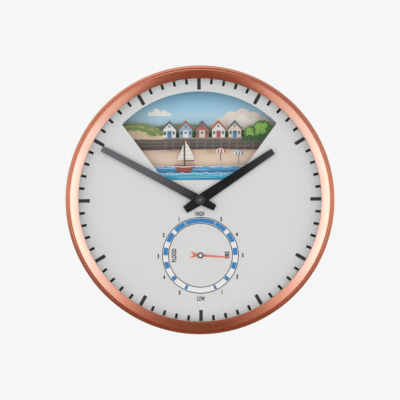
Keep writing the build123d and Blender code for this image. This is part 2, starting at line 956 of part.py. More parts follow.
with BuildPart() as motion_wheel:
    with BuildSketch(facing(wheel_back)):
        with Locations((motion_x, 0)):
            add(gear_face(motion_teeth, cannon_module, 180 / motion_teeth))
    extrude(amount=wheel_thick)
    with BuildSketch(facing(wheel_front)):
        with Locations((motion_x, 0)):
            add(gear_face(motion_pinion_teeth, hour_module, 0))
    extrude(amount=layer_front - wheel_front)
    with BuildSketch(facing(wheel_back)):
        with Locations((motion_x, 0)):
            Circle(pivot_radius + run_fit)
    extrude(amount=layer_front - wheel_back, mode=Mode.SUBTRACT)
save(motion_wheel, "motion_wheel")

with BuildPart() as hour_wheel:
    with BuildSketch(facing(layer_back)):
        add(gear_face(hour_teeth, hour_module, 180 - 180 / hour_teeth))
    extrude(amount=wheel_thick)
    with BuildSketch(facing(layer_front)):
        Circle(tube_radius)
    extrude(amount=hour_under + hand_thick - layer_front)
    with BuildSketch(facing(layer_back)):
        Circle(arbor_radius + run_fit)
    extrude(amount=hour_under + hand_thick - layer_back, mode=Mode.SUBTRACT)
save(hour_wheel, "hour_wheel")

knob_back = panel_recess - knob_thick - run_fit
with BuildPart() as time_set_knob:
    with BuildSketch(facing(knob_back)):
        with Locations((set_x, set_z)):
            RegularPolygon(knob_radius, knob_sides)
    extrude(amount=knob_thick)
    with BuildSketch(facing(panel_recess - run_fit)):
        with Locations((set_x, set_z)):
            Circle(stem_radius)
    extrude(amount=wheel_front + run_fit - panel_recess)
    with BuildSketch(facing(wheel_back)):
        with Locations((set_x, set_z)):
            add(gear_face(set_teeth, cannon_module, set_direction + 180 + 180 / set_teeth))
    extrude(amount=wheel_thick)
save(time_set_knob, "time_set_knob")

# Hands
with BuildPart() as hour_hand:
    with BuildSketch(facing(hour_under, turn=hour_angle)):
        add(
            hand_face(
                hour_length,
                hour_tail,
                hour_hub_width,
                hour_tip_width,
                hour_tail_width,
                tube_radius + run_fit,
            )
        )
    extrude(amount=hand_thick)
    with BuildSketch(facing(dial_front + bush_proud + run_fit)):
        Circle(collar_radius)
        Circle(tube_radius + run_fit, mode=Mode.SUBTRACT)
    extrude(amount=hour_under - dial_front - bush_proud - run_fit)
save(hour_hand, "hour_hand")

with BuildPart() as minute_hand:
    with BuildSketch(facing(minute_under, turn=minute_angle)):
        add(
            hand_face(
                minute_length,
                minute_tail,
                minute_hub_width,
                minute_tip_width,
                minute_tail_width,
                arbor_radius + run_fit,
            )
        )
    extrude(amount=hand_thick)
save(minute_hand, "minute_hand")

cap_top = minute_under + hand_thick + cap_high
with BuildPart() as minute_cap:
    with BuildSketch(Plane.XY):
        with BuildLine():
            Polyline(
                at(0, cap_top),
                at(0, minute_under + hand_thick),
                at(cap_radius, minute_under + hand_thick),
                at(cap_radius, cap_top - cap_chamfer),
                at(cap_radius - cap_chamfer, cap_top),
                close=True,
            )
        make_face()
    revolve(axis=Axis.Y)
save(minute_cap, "minute_cap")

# Tide hand on the tide gearmotor's arbor
with BuildPart() as tide_arbor:
    with BuildSketch(facing(plate_back - shaft_bite + run_fit)):
        with Locations((0, tide_z)):
            Circle(shaft_radius)
    extrude(amount=tide_under - plate_back + shaft_bite - run_fit)
    with BuildSketch(facing(tide_under)):
        with Locations((0, tide_z)):
            Circle(tide_pin_radius)
    extrude(amount=tide_thick + tide_boss_high)
save(tide_arbor, "tide_arbor")

with BuildPart() as tide_hand:
    with BuildSketch(facing(tide_under, tide_z, tide_angle)):
        with BuildLine():
            Polyline(
                (-tide_width / 2, 0),
                (-tide_tail_width / 2, -tide_tail),
                (0, -tide_tail + tide_notch),
                (tide_tail_width / 2, -tide_tail),
                (tide_width / 2, 0),
                (tide_tip_width / 2, tide_length),
                (-tide_tip_width / 2, tide_length),
                close=True,
            )
        make_face()
        Circle(tide_eye_radius)
        Circle(tide_pin_radius + run_fit, mode=Mode.SUBTRACT)
    extrude(amount=tide_thick)
save(tide_hand, "tide_hand")

with BuildPart() as tide_boss:
    with BuildSketch(facing(tide_under + tide_thick)):
        with Locations((0, tide_z)):
            Circle(tide_boss_radius)
            Circle(tide_pin_radius + run_fit, mode=Mode.SUBTRACT)
    extrude(amount=tide_boss_high)
save(tide_boss, "tide_boss")

with BuildPart() as tide_cap:
    with BuildSketch(facing(tide_under + tide_thick + tide_boss_high)):
        with Locations((0, tide_z)):
            Circle(tide_cap_radius)
    extrude(amount=tide_cap_high)
save(tide_cap, "tide_cap")

# Gearmotors: can, two ears and a lead block
with BuildPart() as lift_motor:
    with BuildSketch(facing(plate_back - motor_depth)):
        with Locations((lift_can_x, lift_z)):
            Circle(motor_radius)
        with Locations((lift_can_x + block_reach / 2, lift_z)):
            Rectangle(block_reach, block_width)
    extrude(amount=motor_depth)
    with BuildSketch(facing(plate_back - ear_thick)):
        with Locations(*lift_ears):
            Circle(ear_radius)
        with Locations((lift_can_x, lift_z)):
            Rectangle(2 * ear_radius, 2 * ear_reach)
        add(bolt_face(lift_ears, screw_radius + thread_fit, shank_sides), mode=Mode.SUBTRACT)
    extrude(amount=ear_thick)
    with BuildSketch(facing(plate_back - shaft_bite)):
        with Locations((lift_x, lift_z)):
            Circle(shaft_radius + run_fit)
    extrude(amount=shaft_bite, mode=Mode.SUBTRACT)
save(lift_motor, "lift_motor")

with BuildPart() as tide_motor:
    with BuildSketch(facing(plate_back - motor_depth)):
        with Locations((0, tide_can_z)):
            Circle(motor_radius)
        with Locations((0, tide_can_z - block_reach / 2)):
            Rectangle(block_width, block_reach)
    extrude(amount=motor_depth)
    with BuildSketch(facing(plate_back - ear_thick)):
        with Locations(*tide_ears):
            Circle(ear_radius)
        with Locations((0, tide_can_z)):
            Rectangle(2 * ear_reach, 2 * ear_radius)
        add(bolt_face(tide_ears, screw_radius + thread_fit, shank_sides), mode=Mode.SUBTRACT)
    extrude(amount=ear_thick)
    with BuildSketch(facing(plate_back - shaft_bite)):
        with Locations((0, tide_z)):
            Circle(shaft_radius + run_fit)
    extrude(amount=shaft_bite, mode=Mode.SUBTRACT)
save(tide_motor, "tide_motor")

with BuildPart() as motor_screws:
    with BuildSketch(facing(plate_back - ear_thick - screw_head_high)):
        add(bolt_face(lift_ears + tide_ears, screw_head, head_sides))
    extrude(amount=screw_head_high)
    with BuildSketch(facing(plate_back - ear_thick)):
        add(bolt_face(lift_ears + tide_ears, screw_radius, shank_sides))
    extrude(amount=ear_thick + plate_thick)
save(motor_screws, "motor_screws")

with BuildPart() as lift_shaft:
    with BuildSketch(facing(plate_back - shaft_bite + run_fit)):
        with Locations((lift_x, lift_z)):
            Circle(shaft_radius)
    extrude(amount=front_sea_back + sea_thick - plate_back + shaft_bite - run_fit)
save(lift_shaft, "lift_shaft")

with BuildPart() as front_pinion:
    with BuildSketch(facing(front_sea_back)):
        with Locations((lift_x, lift_z)):
            add(gear_face(front_teeth, rack_module, 0))
            Circle(shaft_radius + run_fit, mode=Mode.SUBTRACT)
    extrude(amount=sea_thick)
save(front_pinion, "front_pinion")

with BuildPart() as rear_pinion:
    with BuildSketch(facing(rear_sea_back)):
        with Locations((lift_x, lift_z)):
            add(gear_face(rear_teeth, rack_module, 0))
            Circle(shaft_radius + run_fit, mode=Mode.SUBTRACT)
    extrude(amount=sea_thick)
save(rear_pinion, "rear_pinion")

# Back panel with its openings
box_inner_half = cell_pitch * cell_count / 2
box_inner_tall = cell_length + cell_nub_high + 2 * contact_space
box_half = box_inner_half + box_wall
box_tall = box_inner_tall + 2 * box_wall
frame_width = 2 * (box_half + box_frame)
frame_tall = box_tall + 2 * box_frame
box_x = motor_radius + box_gap + box_half
board_x = -(motor_radius + box_gap + board_width / 2)
board_back = panel_front + board_post
board_points = [
    (board_x + across * (board_width / 2 - board_inset), box_z + up * (board_tall / 2 - board_inset))
    for across in (-1, 1)
    for up in (-1, 1)
]
button_x = board_x
button_z = box_z
rivet_points = [
    (across * (hanger_width / 2 - rivet_inset), hanger_z + up * (hanger_tall / 2 - rivet_inset))
    for across in (-1, 1)
    for up in (-1, 1)
]
key_z = hanger_z - key_rise / 2

with BuildPart() as back_panel:
    with BuildSketch(facing(panel_recess)):
        Circle(panel_radius)
        add(bolt_face(panel_points, screw_radius + thread_fit, shank_sides), mode=Mode.SUBTRACT)
        with Locations((box_x, box_z)):
            Rectangle(2 * (box_half + cover_fit), box_tall + 2 * cover_fit, mode=Mode.SUBTRACT)
        with Locations((set_x, set_z)):
            Circle(stem_radius + hole_fit, mode=Mode.SUBTRACT)
        with Locations((button_x, button_z)):
            Circle(button_radius + run_fit, mode=Mode.SUBTRACT)
        add(bolt_face(rivet_points, rivet_radius + run_fit, shank_sides), mode=Mode.SUBTRACT)
        with Locations((0, hanger_z)):
            Rectangle(key_room, key_rise + key_room, mode=Mode.SUBTRACT)
    extrude(amount=panel_thick)
save(back_panel, "back_panel")

with BuildPart() as panel_screws:
    with BuildSketch(facing(panel_recess - screw_head_high)):
        add(bolt_face(panel_points, screw_head, head_sides))
    extrude(amount=screw_head_high)
    with BuildSketch(facing(panel_recess)):
        add(bolt_face(panel_points, screw_radius, shank_sides))
    extrude(amount=2 * panel_thick)
save(panel_screws, "panel_screws")

with BuildPart() as hanger_plate:
    with BuildSketch(facing(panel_recess - hanger_thick)) as hanger_outline:
        with Locations((0, hanger_z)):
            Rectangle(hanger_width, hanger_tall)
        chamfer(hanger_outline.vertices(), hanger_corner)
        with Locations((0, key_z)):
            Circle(key_radius, mode=Mode.SUBTRACT)
        with Locations((0, key_z + key_rise / 2)):
            Rectangle(2 * key_slot, key_rise, mode=Mode.SUBTRACT)
        with Locations((0, key_z + key_rise)):
            Circle(key_slot, mode=Mode.SUBTRACT)
        add(bolt_face(rivet_points, rivet_radius + run_fit, shank_sides), mode=Mode.SUBTRACT)
    extrude(amount=hanger_thick)
save(hanger_plate, "hanger_plate")

with BuildPart() as hanger_rivets:
    with BuildSketch(facing(panel_recess - hanger_thick - rivet_head_high)):
        add(bolt_face(rivet_points, rivet_head, head_sides))
    extrude(amount=rivet_head_high)
    with BuildSketch(facing(panel_recess - hanger_thick)):
        add(bolt_face(rivet_points, rivet_radius, shank_sides))
    extrude(amount=hanger_thick + panel_thick)
    with BuildSketch(facing(panel_front)):
        add(bolt_face(rivet_points, rivet_head, head_sides))
    extrude(amount=rivet_head_high)
save(hanger_rivets, "hanger_rivets")

# Battery box: tray with ribs between the cells, and a frame outside the panel
frame_back = panel_recess - box_frame_thick
mouth_half = box_inner_half + box_wall / 2
mouth_tall = box_inner_tall + box_wall
cell_depth = panel_recess + cell_radius + cell_clear
box_floor = cell_depth + cell_radius + run_fit
cover_back = panel_recess - cover_thick - run_fit
hinge_depth = cover_back + cover_thick / 2
hinge_z = box_z + mouth_tall / 2 - cover_fit - cover_thick / 2

with BuildPart() as battery_box:
    with BuildSketch(facing(panel_recess)):
        with Locations((box_x, box_z)):
            Rectangle(2 * box_half, box_tall)
            Rectangle(2 * box_inner_half, box_inner_tall, mode=Mode.SUBTRACT)
    extrude(amount=box_floor - panel_recess)
    with BuildSketch(facing(box_floor)):
        with Locations((box_x, box_z)):
            Rectangle(2 * box_half, box_tall)
    extrude(amount=box_wall)
    with BuildSketch(facing(frame_back)) as frame_outline:
        with Locations((box_x, box_z)):
            Rectangle(frame_width, frame_tall)
        chamfer(frame_outline.vertices(), box_frame / 2)
        with Locations((box_x, box_z)):
            Rectangle(2 * mouth_half, mouth_tall, mode=Mode.SUBTRACT)
    extrude(amount=box_frame_thick)
    with BuildSketch(facing(box_floor - cell_radius / 2)):
        with Locations((box_x, box_z)):
            with GridLocations(cell_pitch, 0, cell_count - 1, 1):
                Rectangle(cell_pitch - 2 * cell_radius, box_inner_tall)
    extrude(amount=cell_radius / 2)
    with BuildSketch(Plane.YZ.offset(box_x - mouth_half - hinge_reach)):
        with Locations((-hinge_depth, hinge_z)):
            Circle(hinge_radius + run_fit)
    extrude(amount=2 * (mouth_half + hinge_reach), mode=Mode.SUBTRACT)
save(battery_box, "battery_box")

cell_points = [box_x + (number - (cell_count - 1) / 2) * cell_pitch for number in range(cell_count)]
cell_low = box_z - box_inner_tall / 2 + contact_space
cell_top = box_z + box_inner_tall / 2 - contact_space

with BuildPart() as battery_cells:
    for number, cell_x in enumerate(cell_points):
        body_low = cell_low + (number % 2) * cell_nub_high
        with BuildSketch(Plane.XY.offset(body_low)):
            with Locations((cell_x, -cell_depth)):
                RegularPolygon(cell_radius, cell_sides)
        extrude(amount=cell_length)
        with BuildSketch(Plane.XY.offset(cell_low)):
            with Locations((cell_x, -cell_depth)):
                RegularPolygon(cell_nub, cell_sides)
        extrude(amount=cell_top - cell_low)
save(battery_cells, "battery_cells")

with BuildPart() as battery_contacts:
    for cell_x in cell_points:
        for end, up in ((cell_low - contact_space, 1), (cell_top + contact_space, -1)):
            with BuildSketch(Plane.XY.offset(end)):
                with Locations((cell_x, -cell_depth)):
                    Rectangle(contact_width, contact_width)
            extrude(amount=up * contact_thick)
            with BuildSketch(Plane.XY.offset(end)):
                with Locations((cell_x, -cell_depth)):
                    Rectangle(cell_nub, cell_nub)
            extrude(amount=up * contact_space)
save(battery_contacts, "battery_contacts")

# Battery cover: hinged along its rounded top edge
cover_half = mouth_half - cover_fit
cover_low = box_z - mouth_tall / 2 + cover_fit

with BuildPart() as battery_cover:
    with BuildSketch(facing(cover_back)):
        with Locations((box_x, (cover_low + hinge_z) / 2)):
            Rectangle(2 * cover_half, hinge_z - cover_low)
    extrude(amount=cover_thick)
    with BuildSketch(Plane.YZ.offset(box_x - cover_half)):
        with Locations((-hinge_depth, hinge_z)):
            Circle(cover_thick / 2)
    extrude(amount=2 * cover_half)
    with BuildSketch(Plane.YZ.offset(box_x - mouth_half - hinge_reach + run_fit)):
        with Locations((-hinge_depth, hinge_z)):
            Circle(hinge_radius)
    extrude(amount=2 * (mouth_half + hinge_reach - run_fit))
    with BuildSketch(facing(cover_back)):
        with Locations((box_x, cover_low)):
            Circle(cover_notch)
    extrude(amount=cover_thick / 2, mode=Mode.SUBTRACT)
save(battery_cover, "battery_cover")

# Controller board on posts inside the back panel, with the tide-set button under its switch
with BuildPart() as controller_board:
    with BuildSketch(facing(board_back, box_z)):
        with Locations((board_x, 0)):
            Rectangle(board_width, board_tall)
    extrude(amount=board_thick)
    with BuildSketch(facing(board_back)):
        add(bolt_face(board_points, board_post_radius / 2 + run_fit, head_sides))
    extrude(amount=board_thick, mode=Mode.SUBTRACT)
save(controller_board, "controller_board")

with BuildPart() as board_components:
    with BuildSketch(facing(board_back + board_thick, box_z)):
        with Locations((board_x, 0)):
            with GridLocations(board_width / 2, 0, 2, 1):
                Rectangle(chip_width, chip_tall)
    extrude(amount=chip_high)
    with BuildSketch(facing(board_back + board_thick, box_z)):
        with Locations((board_x, board_tall / 2 - plug_tall)):
            with GridLocations(plug_pitch, 0, 2, 1):
                Rectangle(plug_wide, plug_tall)
    extrude(amount=plug_high)
    with BuildSketch(facing(board_back - switch_high)):
        with Locations((button_x, button_z)):
            Rectangle(switch_size, switch_size)
    extrude(amount=switch_high)
save(board_components, "board_components")

with BuildPart() as board_posts:
    with BuildSketch(facing(panel_front)):
        add(bolt_face(board_points, board_post_radius, head_sides))
    extrude(amount=board_post)
    with BuildSketch(facing(board_back)):
        add(bolt_face(board_points, board_post_radius / 2, head_sides))
    extrude(amount=board_thick)
    with BuildSketch(facing(board_back + board_thick)):
        add(bolt_face(board_points, board_cap_radius, head_sides))
    extrude(amount=board_thick)
save(board_posts, "board_posts")

with BuildPart() as tide_set_button:
    with BuildSketch(facing(panel_recess - button_proud)):
        with Locations((button_x, button_z)):
            Circle(button_radius)
    extrude(amount=board_back - switch_high - button_travel - run_fit - panel_recess + button_proud)
    with BuildSketch(facing(panel_front + run_fit)):
        with Locations((button_x, button_z)):
            RegularPolygon(button_flange, head_sides)
    extrude(amount=button_flange_thick)
save(tide_set_button, "tide_set_button")
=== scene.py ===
import json
from math import acos, atan2, cos, degrees, pi, radians, sin, sqrt, tau
import bpy
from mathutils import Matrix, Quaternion, Vector


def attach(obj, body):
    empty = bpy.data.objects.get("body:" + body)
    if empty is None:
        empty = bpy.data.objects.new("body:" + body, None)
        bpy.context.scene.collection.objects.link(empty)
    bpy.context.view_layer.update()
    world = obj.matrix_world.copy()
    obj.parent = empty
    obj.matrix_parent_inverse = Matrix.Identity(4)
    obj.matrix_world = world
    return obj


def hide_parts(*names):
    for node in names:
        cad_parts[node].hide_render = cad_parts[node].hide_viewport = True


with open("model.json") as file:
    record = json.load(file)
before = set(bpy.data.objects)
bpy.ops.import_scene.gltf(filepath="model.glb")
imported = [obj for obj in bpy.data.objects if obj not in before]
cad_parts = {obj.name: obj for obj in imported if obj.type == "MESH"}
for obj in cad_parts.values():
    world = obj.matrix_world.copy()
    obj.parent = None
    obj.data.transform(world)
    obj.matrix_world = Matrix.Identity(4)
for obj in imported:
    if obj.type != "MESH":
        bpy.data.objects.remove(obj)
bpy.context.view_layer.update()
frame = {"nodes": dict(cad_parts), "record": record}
nodes = frame["nodes"]
mm = 0.001
smoothUnder = radians(32)  # flatter edges are shaded smooth
samePlace = 1e-6
print("frame loaded:", len(nodes), "nodes")


# hand tools

def dropSelection():
    if bpy.context.object and bpy.context.object.mode != "OBJECT":
        bpy.ops.object.mode_set(mode="OBJECT")
    bpy.ops.object.select_all(action="DESELECT")


def pickUp(pieces):
    dropSelection()
    for piece in pieces:
        piece.select_set(True)
    bpy.context.view_layer.objects.active = pieces[0]


def selectAll():
    bpy.ops.mesh.select_all(action="SELECT")


def drawPath(points):  # a line drawn by extruding one vertex
    dropSelection()
    bpy.ops.mesh.primitive_plane_add(size=mm, location=(0, 0, 0))
    bpy.ops.object.mode_set(mode="EDIT")
    bpy.ops.mesh.select_mode(type="VERT")
    selectAll()
    bpy.ops.mesh.merge(type="CENTER")
    bpy.ops.transform.translate(value=points[0])
    for start, end in zip(points, points[1:]):
        step = Vector(end) - Vector(start)
        bpy.ops.mesh.extrude_vertices_move(TRANSFORM_OT_translate={"value": step})
    selectAll()


def pushOut(height):  # what is selected, drawn out towards the viewer
    bpy.ops.mesh.extrude_region_move(TRANSFORM_OT_translate={"value": (0, -height * mm, 0)})


def closeSkin(weld=0.001):  # merge doubles, then turn the faces outwards; in mm
    selectAll()
    bpy.ops.mesh.remove_doubles(threshold=weld * mm)
    bpy.ops.mesh.normals_make_consistent(inside=False)
    bpy.ops.object.mode_set(mode="OBJECT")


def turnOnLathe(profile, centre=(0, 0), steps=48, closed=True):  # profile of (radius, depth)
    line = [((centre[0] + radius) * mm, -depth * mm, centre[1] * mm) for radius, depth in profile]
    drawPath(line + line[:1] if closed else line)
    bpy.ops.mesh.spin(steps=steps, angle=tau, center=(centre[0] * mm, 0, centre[1] * mm), axis=(0, 1, 0))
    closeSkin(weld=0.01)
    bpy.ops.object.shade_smooth_by_angle(angle=smoothUnder)
    return bpy.context.object


def pickEdges(piece, wanted):  # edges chosen by the places of their two ends
    bpy.ops.object.mode_set(mode="EDIT")
    bpy.ops.mesh.select_mode(type="EDGE")
    bpy.ops.mesh.select_all(action="DESELECT")
    bpy.ops.object.mode_set(mode="OBJECT")
    spots = piece.data.vertices
    for edge in piece.data.edges:
        edge.select = wanted(spots[edge.vertices[0]].co, spots[edge.vertices[1]].co)
    bpy.ops.object.mode_set(mode="EDIT")


def atDepth(outline, depth):
    return [(x * mm, -depth * mm, z * mm) for x, z in outline]


def cutSheet(outline, back, front, rim=0.0):  # a flat shape of (x, z) points, from one depth to another
    drawPath(atDepth(outline, back))
    bpy.ops.mesh.edge_face_add()
    pushOut(front - back)
    closeSkin()
    piece = bpy.context.object
    if rim:
        face = -front * mm
        pickEdges(piece, lambda a, b: abs(a.y - face) < samePlace and abs(b.y - face) < samePlace)
        bpy.ops.mesh.bevel(offset=rim * mm, segments=2)
        bpy.ops.object.mode_set(mode="OBJECT")
        bpy.ops.object.shade_smooth_by_angle(angle=smoothUnder)
    return piece


def joinPieces(pieces):
    pickUp(pieces)
    bpy.ops.object.join()
    return bpy.context.object


def keep(piece, name, body, finish, stands=()):
    piece.name = name
    piece.data.name = name
    piece.data.materials.clear()
    piece.data.materials.append(paint[finish])
    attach(piece, body)
    if stands:
        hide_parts(*stands)


def onCircle(radius, clockwise, centre=(0, 0)):  # a point, degrees clockwise from the top
    turn = radians(clockwise)
    return (centre[0] + radius * sin(turn), centre[1] + radius * cos(turn))


def arcRun(radius, first, last, count, centre=(0, 0)):
    return [onCircle(radius, first + (last - first) * i / count, centre) for i in range(count + 1)]


def swung(outline, clockwise, centre=(0, 0)):  # an outline that points up, turned clockwise
    turn = radians(clockwise)
    up, across = cos(turn), sin(turn)
    return [(centre[0] + x * up + z * across, centre[1] - x * across + z * up) for x, z in outline]


def box(left, low, right, high):
    return [(left, low), (right, low), (right, high), (left, high)]


# finishes

paint = {}


def setSockets(node, values):
    for socket, value in values.items():
        node.inputs[socket].default_value = value


def addNode(tree, kind, values=None, operation=None, dataType=None):
    made = tree.nodes.new("ShaderNode" + kind)
    if operation:
        made.operation = operation
    if dataType:
        made.data_type = dataType
    setSockets(made, values or {})
    return made


def addNoise(tree, scale, detail):
    return addNode(tree, "TexNoise", {"Scale": scale, "Detail": detail})


def addRange(tree, low, high, fromTo="To"):
    return addNode(tree, "MapRange", {fromTo + " Min": low, fromTo + " Max": high})


def addRamp(tree, stops):
    ramp = addNode(tree, "ValToRGB")
    while len(ramp.color_ramp.elements) < len(stops):
        ramp.color_ramp.elements.new(0.5)
    for element, (place, colour) in zip(ramp.color_ramp.elements, stops):
        element.position = place
        element.color = (*colour, 1)
    return ramp


def wire(*chain):  # a node, "output>input", the next node, and so on
    for start, join, end in zip(chain[::2], chain[1::2], chain[2::2]):
        output, socket = (int(name) if name.isdigit() else name for name in join.split(">"))
        start.id_data.links.new(start.outputs[output], end.inputs[socket])


def freshMaterial(name):
    paint[name] = bpy.data.materials.new(name)
    paint[name].use_nodes = True
    tree = paint[name].node_tree
    return tree, tree.nodes["Principled BSDF"], addNode(tree, "TexCoord")


grainLook = {"detail": 5, "spread": 0.15, "glossSpread": 0.06, "relief": 0.0003}


def grainFinish(name, dark, light, scale, roughness, bump, metallic=0.0, stretch=(1, 1, 1)):
    tree, shader, place = freshMaterial(name)
    spread, glossSpread = grainLook["spread"], grainLook["glossSpread"]
    mapping = addNode(tree, "Mapping", {"Scale": stretch})
    grain = addNoise(tree, scale, grainLook["detail"])
    tint = addRamp(tree, [(0.5 - spread, dark), (0.5 + spread, light)])
    gloss = addRange(tree, roughness - glossSpread, roughness + glossSpread)
    relief = addNode(tree, "Bump", {"Strength": bump, "Distance": grainLook["relief"]})
    wire(place, "Object>Vector", mapping, "Vector>Vector", grain, "Fac>Fac", tint, "Color>Base Color", shader)
    wire(grain, "Fac>Value", gloss, "Result>Roughness", shader)
    wire(grain, "Fac>Height", relief, "Normal>Normal", shader)
    setSockets(shader, {"Metallic": metallic})


copperLook = {
    "deep": (0.75, 0.262, 0.172),
    "bright": (0.86, 0.345, 0.245),
    "roughness": 0.25,
    "glossSpread": 0.07,
    "latheMarks": 2600,
    "marksAround": 0.0012,
    "markDepth": 0.035,
    "clouding": 22,
    "cloudShare": 0.55,
}


def satinCopper():
    look = copperLook
    tree, shader, place = freshMaterial("satinCopper")
    # lathe marks: noise over the radius, the depth and a little of the angle
    split = addNode(tree, "SeparateXYZ")
    flat = addNode(tree, "CombineXYZ")
    radius = addNode(tree, "VectorMath", operation="LENGTH")
    angle = addNode(tree, "Math", operation="ARCTAN2")
    slow = addNode(tree, "Math", {1: look["marksAround"]}, "MULTIPLY")
    ring = addNode(tree, "CombineXYZ")
    wire(place, "Object>Vector", split, "X>X", flat, "Vector>0", radius, "Value>X", ring)
    wire(split, "X>0", angle, "Value>0", slow, "Value>Z", ring)
    wire(split, "Z>Z", flat)
    wire(split, "Z>1", angle)
    wire(split, "Y>Y", ring)
    marks = addNoise(tree, look["latheMarks"], detail=3)
    cloud = addNoise(tree, look["clouding"], detail=4)
    blend = addNode(tree, "Mix", {"Factor": look["cloudShare"]}, dataType="FLOAT")
    tint = addRamp(tree, [(0.3, look["deep"]), (0.7, look["bright"])])
    gloss = addRange(tree, look["roughness"] - look["glossSpread"], look["roughness"] + look["glossSpread"])
    relief = addNode(tree, "Bump", {"Strength": look["markDepth"], "Distance": 0.0002})
    wire(ring, "Vector>Vector", marks, "Fac>2", blend, "0>Fac", tint, "Color>Base Color", shader)
    wire(place, "Object>Vector", cloud, "Fac>3", blend)
    wire(marks, "Fac>Value", gloss, "Result>Roughness", shader)
    wire(marks, "Fac>Height", relief, "Normal>Normal", shader)
    setSockets(shader, {"Metallic": 1.0})


handLook = {"roughness": 0.45, "sheen": 0.12, "speck": 900, "speckShare": 0.04, "bump": 0.06}


def handPaint(name, clockwise, stops):  # satin black with a painted sheen: it greys along the hand, from its tail to its tip
    tree, shader, place = freshMaterial(name)
    turn = radians(clockwise)
    tail, tip = stops[0][0], stops[-1][0]
    along = addNode(tree, "VectorMath", {1: (sin(turn), 0, cos(turn))}, "DOT_PRODUCT")
    run = addRange(tree, tail * mm, tip * mm, "From")
    speck = addNoise(tree, handLook["speck"], detail=4)
    shade = addNode(tree, "Mix", {"Factor": handLook["speckShare"]}, dataType="FLOAT")
    # the painted sheen: the base colour turns lighter towards the tip
    tint = addRamp(tree, [((spot - tail) / (tip - tail), colour) for spot, colour in stops])
    relief = addNode(tree, "Bump", {"Strength": handLook["bump"], "Distance": 0.0001})
    wire(place, "Object>0", along, "Value>Value", run, "Result>2", shade, "0>Fac", tint)
    wire(tint, "Color>Base Color", shader)
    wire(place, "Object>Vector", speck, "Fac>3", shade)
    wire(speck, "Fac>Height", relief, "Normal>Normal", shader)
    setSockets(shader, {"Roughness": handLook["roughness"], "Specular IOR Level": handLook["sheen"]})


def bandedPaint(name, low, high, drift, streak, amount, stops):
    # colours from bottom to top, blurred by streaks, for the printed cards
    tree, shader, place = freshMaterial(name)
    split = addNode(tree, "SeparateXYZ")
    run = addRange(tree, low * mm, high * mm, "From")
    mapping = addNode(tree, "Mapping", {"Scale": streak})
    brush = addNoise(tree, drift, detail=5)
    wander = addNode(tree, "Math", {1: amount, 2: -amount / 2}, "MULTIPLY_ADD")
    total = addNode(tree, "Math", operation="ADD")
    tint = addRamp(tree, stops)
    wire(place, "Object>Vector", split, "Z>Value", run, "Result>0", total, "Value>Fac", tint)
    wire(place, "Object>Vector", mapping, "Vector>Vector", brush, "Fac>0", wander, "Value>1", total)
    wire(tint, "Color>Base Color", shader)
    setSockets(shader, {"Roughness": 0.6})


boardLook = {"grain": 260, "detail": 4, "shade": 0.86, "joint": 0.12}


def boardPaint(name, dark, light, pitch, along="X", roughness=0.6):  # painted boards with a fine dark joint
    tree, shader, place = freshMaterial(name)
    boards = addNode(tree, "TexWave", {"Scale": pi / (10 * pitch * mm)})
    boards.bands_direction = along
    grain = addNoise(tree, boardLook["grain"], boardLook["detail"])
    tint = addRamp(tree, [(0.3, tuple(boardLook["shade"] * level for level in light)), (0.7, light)])
    joint = addNode(tree, "MapRange", {"From Max": boardLook["joint"]})
    blend = addNode(tree, "Mix", {6: (*dark, 1)}, dataType="RGBA")
    wire(place, "Object>Vector", boards, "Fac>Value", joint, "Result>Factor", blend, "2>Base Color", shader)
    wire(place, "Object>Vector", grain, "Fac>Fac", tint, "Color>7", blend)
    setSockets(shader, {"Roughness": roughness})


def clearGlass():
    tree, shader, place = freshMaterial("clearGlass")
    smear = addNode(tree, "TexNoise", {"Scale": 9})
    gloss = addRange(tree, 0.02, 0.07)
    wire(place, "Object>Vector", smear, "Fac>Value", gloss, "Result>Roughness", shader)
    setSockets(shader, {"Base Color": (0.10, 0.11, 0.11, 1), "Alpha": 0.04, "IOR": 1.45})


